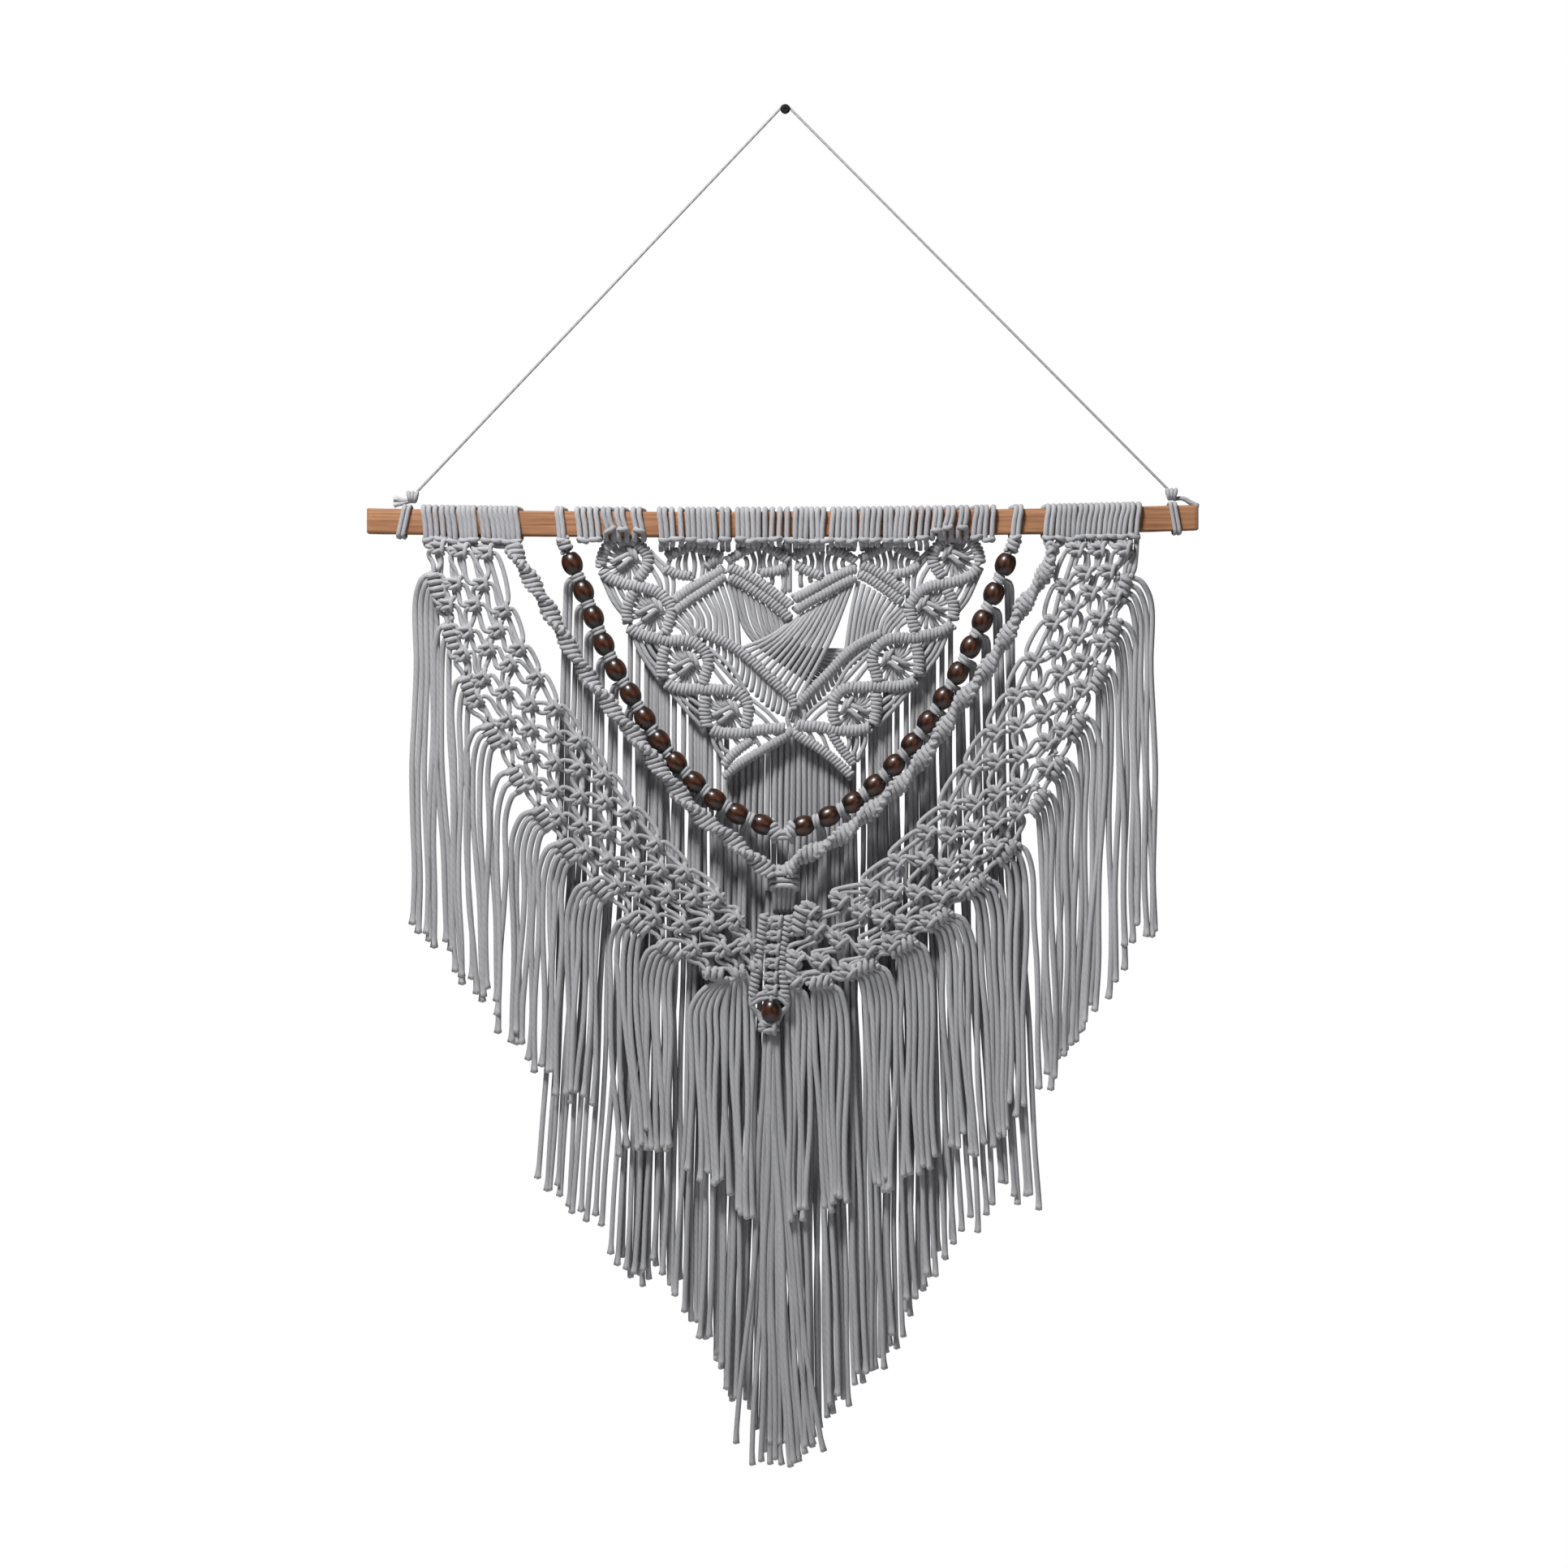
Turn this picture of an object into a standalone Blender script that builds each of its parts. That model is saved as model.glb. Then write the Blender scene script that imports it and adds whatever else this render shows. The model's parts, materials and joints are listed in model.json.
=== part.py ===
"""Macrame wall hanging on a squared wooden rod, with the cord and the screw that it hangs from.

Frame: metres, +X right, +Z up, +Y into the wall. The origin is the screw's flat shank end, on the wall's plane.
Sizes below are in millimetres. MM turns them into metres when a mesh is made.
"""

from collections import namedtuple
from math import cos, pi, radians, sin, tan

import bmesh
import bpy
import numpy as np
from mathutils import Vector

MM = 0.001
GAP = 0.3  # between pieces that touch on the real hanging

# --- Driving sizes ---------------------------------------------------------------------------------------------
CORD = 4.2  # diameter of the cotton cord that everything is knotted from

ROD_X = (-306.8, 303.1)
ROD_HALF_HEIGHT = 9.25
ROD_HALF_DEPTH = 8.0
ROD_EASE = 1.8  # how far each long edge is planed off
ROD_Y = -13.6
ROD_Z = -305.2  # its middle, which hangs lowest
ROD_TILT = 0.0043  # rise per millimetre towards +X
ROD_BOW = 3.6  # how far the ends stand above the middle

SHANK_RADIUS = 1.5
HEAD_RADIUS = 3.65
HEAD_BACK_Y = -14.8
HEAD_THICKNESS = 2.2
RECESS_REACH = 1.7
RECESS_WIDTH = 0.8
RECESS_DEPTH = 0.9

HANGING_CORD = 1.9  # diameter
HANGING_BEND = 3.8  # radius of its centreline over the shank

BEAD_RADIUS = 7.6
BEAD_END_RADIUS = 5.0
BEAD_LENGTH = 15.4
BEAD_BORE = 3.4

# Depth of each layer's middle. The more negative, the nearer the viewer.
NET_Y = -26.0
NET_FRINGE_Y = -19.8
SPIRAL_Y = -29.6
JOIN_Y = -24.0
JOIN_STRAND_Y = -18.2
BEAD_Y = -23.0
TAIL_BEAD_Y = -28.4
PANEL_Y = -14.0
BEAD_STRAND_Y = -12.6
SWAY_Y = 0.2  # how far a strand of fringe stands out of its layer

NET_SLEEVES = {-1: (-266.4, -202.0, 6), 1: (198.4, 260.5, 6)}  # side: from x, to x, ridges
SPIRAL_SLEEVES = {-1: (-201.6, -194.2, 1), 1: (189.8, 198.0, 1)}
BEAD_SLEEVES = {-1: (-168.4, -161.2, 1), 1: (166.0, 173.8, 1)}
PANEL_SLEEVES = ((-153.4, -103.8, 4), (-93.2, 111.8, 15), (116.2, 154.0, 3))

# The net's two edges, one row for each section from the rod to the point.
NET_EDGES = {
    -1: (  # inner x, inner z, outer x, outer z
        (-211.5, -322.0, -259.5, -322.0),
        (-206.3, -368.6, -248.0, -379.3),
        (-182.5, -418.0, -218.8, -452.5),
        (-152.1, -464.4, -181.9, -513.8),
        (-114.6, -515.6, -141.4, -566.2),
        (-74.7, -560.9, -91.4, -612.1),
        (-25.3, -589.4, -58.6, -634.1),
    ),
    1: (
        (209.0, -322.0, 255.7, -322.0),
        (195.2, -375.7, 242.0, -376.3),
        (168.8, -430.5, 217.0, -446.0),
        (136.6, -484.7, 189.6, -501.3),
        (103.3, -531.1, 146.2, -563.8),
        (61.0, -571.0, 93.8, -609.7),
        (18.2, -587.7, 32.4, -640.1),
    ),
}
NET_COLUMNS = (0.42, 1.3, 2.2, 3.15, 4.1, 5.1)  # where the knots stand, in sections from the rod

POINT_BARS = {  # x, z down each ridged bar at the net's point
    -1: ((-15.3, -589.0), (-19.6, -622.0), (-23.8, -651.0)),
    1: ((4.3, -590.0), (-0.5, -622.0), (1.6, -651.0)),
}
POINT_COLUMN = ((-6.0, -592.0), (-9.8, -622.0), (-10.8, -646.0))

SPIRAL_ROUTE = {  # x, z down each twisted sinnet
    -1: (
        (-183.7, -348.9), (-168.3, -376.9), (-145.8, -415.0), (-119.4, -450.1), (-80.9, -498.3), (-43.2, -533.5),
    ),
    1: (
        (183.1, -352.5), (168.8, -375.7), (151.5, -404.9), (128.3, -436.4), (95.0, -486.8), (66.0, -514.4),
        (29.5, -541.8),
    ),
}
JOIN = (-0.9, -567.0)  # the knot at the spiral's foot

BEAD_PLACES = {  # x, z of each bead's middle, from the rod down
    -1: (
        (-156.1, -334.3), (-147.8, -354.7), (-140.5, -373.6), (-132.9, -393.4), (-124.0, -412.2),
        (-113.4, -430.0), (-102.9, -447.7), (-91.9, -464.3), (-80.0, -480.2), (-66.3, -494.7),
        (-51.5, -507.3), (-35.0, -517.8), (-16.6, -525.6),
    ),
    1: (
        (161.4, -334.9), (152.9, -356.4), (144.5, -376.5), (135.9, -395.6), (126.6, -414.6),
        (116.0, -432.9), (104.6, -450.4), (92.8, -466.6), (79.8, -482.2), (65.5, -496.9),
        (49.5, -509.5), (31.9, -519.6), (13.2, -526.6),
    ),
}
TAIL_BEAD = (-10.2, -662.2)
TAIL_KNOT = (-11.0, -676.4)

DIAMONDS = {  # x, z of each diamond's middle, from the rod down
    -1: ((-119.0, -335.4), (-98.1, -369.3), (-72.6, -407.8), (-42.3, -443.6)),
    1: ((124.0, -334.4), (105.3, -368.3), (79.8, -406.2), (49.5, -441.3)),
}
DIAMOND_RADIUS = 11.6
DIAMOND_RIDGES = 8
LEAF_BAR = (
    (-88.0, -333.0), (-71.2, -324.4), (-44.4, -331.6), (-24.7, -324.2), (4.9, -334.0),
    (23.2, -324.2), (52.1, -331.6), (73.8, -324.4), (97.7, -333.0),
)
ZIGZAG_BAR = ((-78.5, -363.0), (-44.4, -344.0), (4.5, -370.3), (52.1, -344.0), (86.0, -362.5))
V_BAR = ((-63.2, -384.0), (7.8, -437.0), (69.0, -383.0))
FOOT_BAR = ((-56.5, -466.0), (3.0, -457.6), (60.5, -464.0))
LOWER_FOOT_BAR = ((-46.5, -490.0), (4.0, -469.0), (50.0, -490.0))

# Where the fringes' lower ends lie: x, z.
NET_FRINGE_ENDS = {
    -1: ((-274.0, -601.0), (-244.0, -619.0), (-219.0, -651.0), (-192.0, -686.0), (-165.0, -722.0), (-141.0, -726.0),
         (-105.0, -762.0), (-72.0, -783.0), (-40.0, -790.0)),
    1: ((20.0, -808.0), (78.0, -794.0), (132.0, -767.0), (171.0, -733.0), (196.0, -714.0), (205.0, -694.0),
        (238.0, -654.0), (257.0, -612.0), (274.0, -602.0)),
}
BACK_ENDS = (
    (-174.0, -792.0), (-151.0, -808.0), (-122.0, -842.0), (-85.0, -869.0), (-57.0, -900.0), (-37.0, -945.0),
    (0.0, -968.0), (40.0, -964.0), (54.0, -928.0), (77.0, -911.0), (101.0, -868.0), (123.0, -832.0),
    (156.0, -796.0), (178.0, -800.0),
)
TAIL_END_Z = -990.0

SHANK_TOP = SHANK_RADIUS + GAP + HANGING_CORD / 2
TIE_KNOTS = {-1: (-273.4, -285.4), 1: (283.4, -283.4)}  # x, z
TIE_TURNS = {-1: (-283.5, -276.1, 0.22), 1: (282.2, 289.4, -0.18)}  # from x, to x, lean
TIE_TAILS = {  # x, z along each free tail
    -1: ((-279.5, -283.4), (-285.5, -285.8), (-289.5, -288.4)),
    1: ((287.5, -280.6), (295.0, -283.4), (302.6, -289.2)),
}

COTTON = ((0.46, 0.46, 0.48), 0.92)
WOOD = ((0.42, 0.25, 0.14), 0.6)
DARK_WOOD = ((0.055, 0.022, 0.012), 0.3)
BLACK_METAL = ((0.02, 0.02, 0.022), 0.45)


# --- Knotwork: hubs, bars and sleeves whose side faces are ports, and strands that grow from the ports ----------
Port = namedtuple("Port", "loop out")
DEPTH_AXIS = np.array((0.0, 1.0, 0.0))
DOWN = np.array((0.0, 0.0, -1.0))

# A bar's cross-section: across the bar and in depth, as shares of its half width and half depth.
BAR_SECTION = ((1.0, -0.8), (-1.0, -0.8), (-1.0, 0.8), (1.0, 0.8))
BELOW, ABOVE = 1, 3  # the sides of that section that hold ports
OUTER, INNER = BELOW, ABOVE  # the same sides on a closed bar that runs anticlockwise
END = "end"


def unit(vector):
    return vector / np.linalg.norm(vector)


def smooth_path(points, count):
    """count points at equal steps along a smooth curve through the given points."""
    points = np.asarray(points, float)
    if len(points) == 2:
        return np.linspace(points[0], points[1], count)
    ends = (2 * points[0] - points[1], 2 * points[-1] - points[-2])
    held = np.vstack((ends[0], points, ends[1]))
    fine = []
    for a, b, c, d in zip(held, held[1:], held[2:], held[3:]):
        bend, swing = 2 * a - 5 * b + 4 * c - d, 3 * b - a - 3 * c + d
        for t in np.arange(0, 1, 0.05):
            fine.append(0.5 * (2 * b + (c - a) * t + bend * t**2 + swing * t**3))
    fine = np.array(fine + [points[-1]])
    reach = np.concatenate(((0,), np.cumsum(np.linalg.norm(np.diff(fine, axis=0), axis=1))))
    steps = np.linspace(0, reach[-1], count)
    return np.column_stack([np.interp(steps, reach, fine[:, k]) for k in range(points.shape[1])])


def at_depth(points, y):
    """(x, z) points as (x, y, z)."""
    return [(x, y, z) for x, z in points]


def rod_z(x):
    half = (ROD_X[1] - ROD_X[0]) / 2
    return ROD_Z + ROD_TILT * x + ROD_BOW * (x / half) ** 2


def rod_section(thickness):
    """The rod's eased outline, grown by thickness, as (y, z) about its middle. It starts at the upper front edge."""
    y = ROD_HALF_DEPTH + thickness
    z = ROD_HALF_HEIGHT + thickness
    ease = ROD_EASE + thickness * 2 * tan(radians(22.5))
    return (
        (ease - y, z), (-y, z - ease), (-y, ease - z), (ease - y, -z),
        (y - ease, -z), (y, ease - z), (y, z - ease), (y - ease, z),
    )


LOWER_FRONT, UNDER, OVER = 2, 3, 7  # sides of that outline that hold ports


class Knotwork:
    """One piece of macrame. Its faces are kept by key until a strand takes the place of some of them."""

    def __init__(self):
        self.points = []
        self.faces = {}

    def ring(self, points):
        first = len(self.points)
        self.points.extend(np.asarray(p, float) for p in points)
        return list(range(first, len(self.points)))

    def face(self, loop, key=None):
        self.faces[key if key is not None else ("plain", len(self.faces), tuple(loop))] = list(loop)

    def middle(self, loop):
        return np.mean([self.points[i] for i in loop], axis=0)

    def turned(self, loop, along):
        """The loop ordered so that it runs the same way round the direction along."""
        spots = [self.points[i] for i in loop]
        area = sum(np.cross(a, b) for a, b in zip(spots, spots[1:] + spots[:1]))
        return list(loop) if np.dot(area, along) > 0 else list(loop)[::-1]

    def bridge(self, first, second, along, along_second=None):
        """Joins two loops by quads, or by triangles where they differ in count. along is the way through each loop."""
        a = self.turned(first, along)
        b = self.turned(second, along if along_second is None else along_second)
        shift = self.middle(b) - self.middle(a)

        def apart(i, j):
            return np.linalg.norm(self.points[a[i % len(a)]] + shift - self.points[b[j % len(b)]])

        start = min(range(len(b)), key=lambda j: sum(apart(i, j + round(i * len(b) / len(a))) for i in range(len(a))))
        b = b[start:] + b[:start]
        if len(a) == len(b):
            for i in range(len(a)):
                k = (i + 1) % len(a)
                self.face((a[i], a[k], b[k], b[i]))
            return
        i = j = 0
        while i < len(a) or j < len(b):
            lead = i / len(a) - j / len(b)  # how far a runs ahead of b, kept small so that no edge is met twice
            nearer = apart(i + 1, j) <= apart(i, j + 1)
            if j == len(b) or (i < len(a) and (lead < -0.3 or (nearer and lead < 0.3))):
                self.face((a[i], a[(i + 1) % len(a)], b[j % len(b)]))
                i += 1
            else:
                self.face((a[i % len(a)], b[(j + 1) % len(b)], b[j]))
                j += 1

    def cross_ring(self, centre, along, half_width, half_depth, sides=4, turn=0.0):
        """A ring of 3 or 4 points round centre, square to the direction along."""
        side = unit(np.cross(along, DEPTH_AXIS))
        up = unit(np.cross(side, along))
        if sides == 3:
            corners = [(cos(a), sin(a)) for a in (radians(d) for d in (90, 210, 330))]
        else:
            corners = ((1, 1), (-1, 1), (-1, -1), (1, -1))
        c, s = cos(turn), sin(turn)
        out = []
        for u, v in corners:
            u, v = u * half_width, v * half_depth
            out.append(centre + (u * c - v * s) * side + (u * s + v * c) * up)
        return self.ring(out)

    def strand(self, start, end, half_width=CORD / 2, half_depth=CORD / 2, bands=2, pull=0.7, via=None, turns=0.0):
        """A strand from one port to another. It leaves and enters square to the ports, or runs through via."""
        p, q = self.middle(start.loop), self.middle(end.loop)
        if via is None:
            reach = pull * np.linalg.norm(q - p)
            t = np.linspace(0, 1, 4 * bands + 1)[:, None]
            path = (
                (2 * t**3 - 3 * t**2 + 1) * p + (t**3 - 2 * t**2 + t) * reach * start.out
                + (3 * t**2 - 2 * t**3) * q + (t**2 - t**3) * reach * end.out
            )
            path = path[::4]
        else:
            path = smooth_path([p, *via, q], bands + 1)
        last, last_along = start.loop, start.out
        for k in range(1, bands):
            along = unit(path[k + 1] - path[k - 1])
            loop = self.cross_ring(path[k], along, half_width, half_depth, 4, pi * turns * k / bands)
            self.bridge(last, loop, last_along, along)
            last, last_along = loop, along
        self.bridge(last, end.loop, last_along, -end.out)

    def lock(self, start, path, radius):
        """A free strand of fringe with three sides. It ends in a flat cut."""
        path = np.asarray(path, float)
        last, last_along = start.loop, start.out
        for k, place in enumerate(path):
            behind = self.middle(start.loop) if k == 0 else path[k - 1]
            along = unit(path[min(k + 1, len(path) - 1)] - behind)
            loop = self.cross_ring(place, along, radius, radius, 3)
            self.bridge(last, loop, last_along, along)
            last, last_along = loop, along
        self.face(last)

    def knot(self, x, y, z, half_width, half_height, half_depth, ridges=2, lean=0.0):
        """A knot with a port at each corner, keyed (side, level): side -1 left, 1 right, level 1 top, -1 bottom."""
        across = np.array((cos(lean), 0, sin(lean)))
        up = np.array((-sin(lean), 0, cos(lean)))
        section = ((-1, -0.55), (0, -1), (1, -0.55), (1, 0.7), (0, 0.8), (-1, 0.7))
        rings = []
        for k in range(2 * ridges + 1):
            size = 1.0 if k % 2 else 0.74
            height = half_height * (1 - k / ridges)
            middle = np.array((x, y, z)) + height * up
            wide, deep = size * half_width * across, size * half_depth * DEPTH_AXIS
            rings.append(self.ring(middle + u * wide + v * deep for u, v in section))
        for upper, lower in zip(rings, rings[1:]):
            self.bridge(upper, lower, -up)
        ports = {}
        for level, loop in ((1, rings[0]), (-1, rings[-1])):
            for side, corners in ((-1, (0, 1, 4, 5)), (1, (1, 2, 3, 4))):
                key = ("knot", len(self.points), level, side)
                self.face([loop[i] for i in corners], key)
                ports[side, level] = (key, unit(level * up + 0.45 * side * across))
        return ports

    def take(self, port):
        """Opens a knot's corner and gives it as a port."""
        key, out = port
        return Port(self.faces.pop(key), out)

    def bar(self, path, half_width, half_depth, ridges, closed=False, groove=0.72):
        """A ridged bar along path. Its ports are keyed (side, ridge)."""
        count = 2 * ridges + 1
        path = smooth_path(path, count)
        steps = np.gradient(path, axis=0)
        if closed:
            path, steps, count = path[:-1], steps[:-1], count - 1
            steps[0] = path[1] - path[-1]
        rings = []
        for k, (middle, step) in enumerate(zip(path, steps)):
            size = 1.0 if k % 2 else groove
            wide = size * half_width * unit(np.array((-step[2], 0, step[0])))
            rings.append(self.ring(middle + u * wide + size * half_depth * v * DEPTH_AXIS for u, v in BAR_SECTION))
        sides = len(BAR_SECTION)
        ports = {}
        for k in range(2 * ridges):
            a, b = rings[k], rings[(k + 1) % count]
            for s in range(sides):
                self.face((a[s], b[s], b[(s + 1) % sides], a[(s + 1) % sides]), ("bar", a[0], b[0], s))
        for r in range(ridges):
            a, b, c = rings[2 * r], rings[2 * r + 1], rings[(2 * r + 2) % count]
            step = steps[2 * r + 1]
            across = unit(np.array((-step[2], 0, step[0])))
            for s, sign in ((BELOW, -1), (ABOVE, 1)):
                e = (s + 1) % sides
                keys = (("bar", a[0], b[0], s), ("bar", b[0], c[0], s))
                ports[s, r] = (keys, [a[s], b[s], c[s], c[e], b[e], a[e]], sign * across)
        if not closed:
            for which, loop, sign in ((0, rings[0], -1), (-1, rings[-1], 1)):
                key = ("bar end", loop[0])
                self.face(loop, key)
                ports[END, which] = ((key,), loop, sign * unit(steps[which]))
        return ports

    def near(self, ports, side, x):
        """The port on this side of a bar or a sleeve that lies nearest to x."""
        ridges = [r for s, r in ports if s == side]
        return ports[side, min(ridges, key=lambda r: abs(self.middle(ports[side, r][1])[0] - x))]

    def open_side(self, port):
        """Opens a ridge's side on a bar or a sleeve and gives it as a port."""
        keys, loop, out = port
        for key in keys:
            del self.faces[key]
        return Port(loop, out)

    def sleeve(self, x_from, x_to, pairs, thickness=CORD, lean=0.0):
        """The cords' turns round the rod, a ridge for each pair. Its ports are keyed (side, ridge)."""
        def around(x, size):
            return self.ring((x + lean * z, ROD_Y + y, rod_z(x) + z) for y, z in rod_section(size))

        rings = []
        for k, x in enumerate(np.linspace(x_from, x_to, 2 * pairs + 1)):
            rings.append(around(x, GAP + thickness * (1.0 if k % 2 else 0.55)))
        inner = [around(x, GAP) for x in np.linspace(x_from, x_to, 3 if pairs > 8 else 2)]
        sides = len(rings[0])
        for k in range(2 * pairs):
            a, b = rings[k], rings[k + 1]
            for s in range(sides):
                self.face((a[s], b[s], b[(s + 1) % sides], a[(s + 1) % sides]), ("sleeve", a[0], b[0], s))
        for s in range(sides):
            n = (s + 1) % sides
            for a, b in [*zip(inner, inner[1:]), (inner[0], rings[0]), (inner[-1], rings[-1])]:
                self.face((a[s], a[n], b[n], b[s]))
        ports = {}
        for r in range(pairs):
            a, b, c = rings[2 * r], rings[2 * r + 1], rings[2 * r + 2]
            for s, out in ((LOWER_FRONT, (0, -0.5, -1)), (UNDER, (0, 0, -1)), (OVER, (0, 0, 1))):
                e = (s + 1) % sides
                keys = (("sleeve", a[0], b[0], s), ("sleeve", b[0], c[0], s))
                ports[s, r] = (keys, [a[s], b[s], c[s], c[e], b[e], a[e]], unit(np.array(out, float)))
        return ports

    def strip(self, path, half_width, half_depth):
        """A narrow backing along path, with one port under each step."""
        path = np.asarray(path, float)
        steps = np.gradient(path, axis=0)
        rings = []
        for middle, step in zip(path, steps):
            across = unit(np.array((-step[2], 0, step[0])))
            corners = ((1, -1), (-1, -1), (-1, 1), (1, 1))
            rings.append(self.ring(middle + half_width * u * across + half_depth * v * DEPTH_AXIS for u, v in corners))
        ports = []
        for a, b in zip(rings, rings[1:]):
            for s in (0, 2, 3):
                self.face((a[s], b[s], b[(s + 1) % 4], a[(s + 1) % 4]))
            ports.append(Port([a[1], b[1], b[2], a[2]], DOWN))
        self.face(rings[0])
        self.face(rings[-1])
        return ports

    def make(self, name, look):
        mesh = bpy.data.meshes.new(name)
        mesh.from_pydata([tuple(MM * p) for p in self.points], [], list(self.faces.values()))
        work = bmesh.new()
        work.from_mesh(mesh)
        bmesh.ops.recalc_face_normals(work, faces=work.faces)
        if work.calc_volume(signed=True) < 0:
            bmesh.ops.reverse_faces(work, faces=work.faces)
        work.to_mesh(mesh)
        work.free()
        return add_object(name, mesh, look)


# --- Objects and materials --------------------------------------------------------------------------------------
def add_object(name, data, look, smooth=True):
    obj = bpy.data.objects.new(name, data)
    bpy.context.scene.collection.objects.link(obj)
    colour, roughness = look
    material = bpy.data.materials.new(name)
    material.use_nodes = True
    shader = material.node_tree.nodes["Principled BSDF"]
    shader.inputs["Base Color"].default_value = (*colour, 1)
    shader.inputs["Roughness"].default_value = roughness
    shader.inputs["Metallic"].default_value = 1.0 if look is BLACK_METAL else 0.0
    data.materials.append(material)
    if smooth and isinstance(data, bpy.types.Mesh):
        data.shade_smooth()
        data.set_sharp_from_angle(angle=radians(35))
    return obj


def clear_scene():
    for obj in list(bpy.data.objects):
        bpy.data.objects.remove(obj, do_unlink=True)


# --- Rod, screw and hanging cord ----------------------------------------------------------------------------------
def make_rod():
    work = Knotwork()
    rings = [
        work.ring((x, ROD_Y + y, rod_z(x) + z) for y, z in rod_section(0))
        for x in np.linspace(*ROD_X, 9)
    ]
    for a, b in zip(rings, rings[1:]):
        work.bridge(a, b, np.array((1.0, 0, 0)))
    work.face(rings[0])
    work.face(rings[-1])
    work.make("rod", WOOD)


def make_screw():
    """A turned shank and domed head along -Y, with a cross recess cut into the head."""
    steps = 16
    outline = (
        (SHANK_RADIUS, 0.0), (SHANK_RADIUS, HEAD_BACK_Y), (HEAD_RADIUS, HEAD_BACK_Y),
        (HEAD_RADIUS, HEAD_BACK_Y - 0.4 * HEAD_THICKNESS), (0.62 * HEAD_RADIUS, HEAD_BACK_Y - HEAD_THICKNESS),
    )
    work = Knotwork()
    rings = [
        work.ring((r * cos(2 * pi * k / steps), y, r * sin(2 * pi * k / steps)) for k in range(steps))
        for r, y in outline
    ]
    for a, b in zip(rings, rings[1:]):
        for k in range(steps):
            n = (k + 1) % steps
            work.face((a[k], a[n], b[n], b[k]))
    work.face(rings[0])
    work.face(rings[-1])
    screw = work.make("wall_screw", BLACK_METAL)

    cutter = Knotwork()
    near, far = RECESS_WIDTH / 2, RECESS_REACH
    cross = ((near, near), (near, far), (-near, far), (-near, near), (-far, near), (-far, -near),
             (-near, -near), (-near, -far), (near, -far), (near, -near), (far, -near), (far, near))
    mouth = HEAD_BACK_Y - HEAD_THICKNESS - 1.0
    floor = HEAD_BACK_Y - HEAD_THICKNESS + RECESS_DEPTH
    front, back = (cutter.ring((x, y, z) for x, z in cross) for y in (mouth, floor))
    for k in range(len(cross)):
        n = (k + 1) % len(cross)
        cutter.face((front[k], front[n], back[n], back[k]))
    cutter.face(front)
    cutter.face(back)
    recess = cutter.make("recess_cutter", BLACK_METAL)
    recess.hide_render = True
    recess.display_type = "WIRE"
    cut = screw.modifiers.new("recess", "BOOLEAN")
    cut.operation = "DIFFERENCE"
    cut.solver = "EXACT"
    cut.object = recess


def hanging_route():
    """Up from the left tie, over the shank, and down to the right tie."""
    cord_y = HEAD_BACK_Y + GAP + HANGING_CORD / 2
    arc_z = SHANK_TOP - HANGING_BEND
    over = [
        (HANGING_BEND * sin(a), cord_y, arc_z + HANGING_BEND * cos(a))
        for a in (radians(d) for d in range(-46, 47, 23))
    ]
    left = (TIE_KNOTS[-1][0] + 3.1, ROD_Y, TIE_KNOTS[-1][1] + 4.6)
    right = (TIE_KNOTS[1][0] - 2.6, ROD_Y, TIE_KNOTS[1][1] + 4.6)
    runs = [np.array(left) + (np.array(over[0]) - left) * t for t in (0, 0.12, 0.35, 0.6, 0.8, 0.92, 0.98)]
    back = [np.array(right) + (np.array(over[-1]) - right) * t for t in (0.98, 0.92, 0.8, 0.6, 0.35, 0.12, 0)]
    return smooth_path([*runs, *over, *back], 300)


def make_hanging_cord():
    fine = hanging_route()
    near = np.abs(fine[:, 0]) < 3 * HANGING_BEND
    keep = [k for k in range(len(fine)) if near[k] or k % 35 == 0 or k == len(fine) - 1]
    route = fine[keep]
    over = smooth_path(fine[near], 12)
    route = np.vstack((route[route[:, 0] < over[0, 0]], over, route[route[:, 0] > over[-1, 0]]))
    curve = bpy.data.curves.new("hanging_cord", "CURVE")
    curve.dimensions = "3D"
    curve.bevel_depth = MM * HANGING_CORD / 2
    curve.bevel_resolution = 2
    curve.use_fill_caps = True
    spline = curve.splines.new("POLY")
    spline.points.add(len(route) - 1)
    for point, place in zip(spline.points, route):
        point.co = (*(MM * place), 1)
    add_object("hanging_cord", curve, COTTON)


def make_tie(side, name):
    """Two turns round the rod, the knot above them, and the free tails."""
    work = Knotwork()
    x_from, x_to, lean = TIE_TURNS[side]
    turns = work.sleeve(x_from, x_to, 2, thickness=3.4, lean=lean)
    x, z = TIE_KNOTS[side]
    knot = work.knot(x, ROD_Y, z, 5.2, 3.4, 4.2)
    for ridge, corner in ((0, -1), (1, 1)):
        work.strand(work.open_side(turns[OVER, ridge]), work.take(knot[corner, -1]), bands=1)
    work.lock(work.take(knot[side, 1]), at_depth(TIE_TAILS[side], ROD_Y - 1.5), 2.3)
    work.make(name, COTTON)


# --- The net ------------------------------------------------------------------------------------------------------
def net_edge(side, station, which):
    """(x, z) on the net's inner (0) or outer (1) edge, at a station counted in sections."""
    rows = np.array(NET_EDGES[side])[:, 2 * which:2 * which + 2]
    places = np.arange(len(rows))
    return np.array([np.interp(station, places, rows[:, k]) for k in (0, 1)])


def make_net():
    work = Knotwork()
    bars = {side: work.bar(at_depth(path, NET_Y), 4.0, 4.2, 8) for side, path in POINT_BARS.items()}
    column = work.bar(at_depth(POINT_COLUMN, NET_Y), 2.6, 3.2, 5)
    for ridge, rung in ((1, 1), (4, 3), (6, 4)):
        for side, bar_side, column_side in ((-1, ABOVE, BELOW), (1, BELOW, ABOVE)):
            if rung != 3 or side == -1:
                start, end = bars[side][bar_side, ridge], column[column_side, rung]
                work.strand(work.open_side(start), work.open_side(end), bands=1)
    for side in (-1, 1):
        half_net(work, side, bars[side])
    work.make("net", COTTON)


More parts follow.
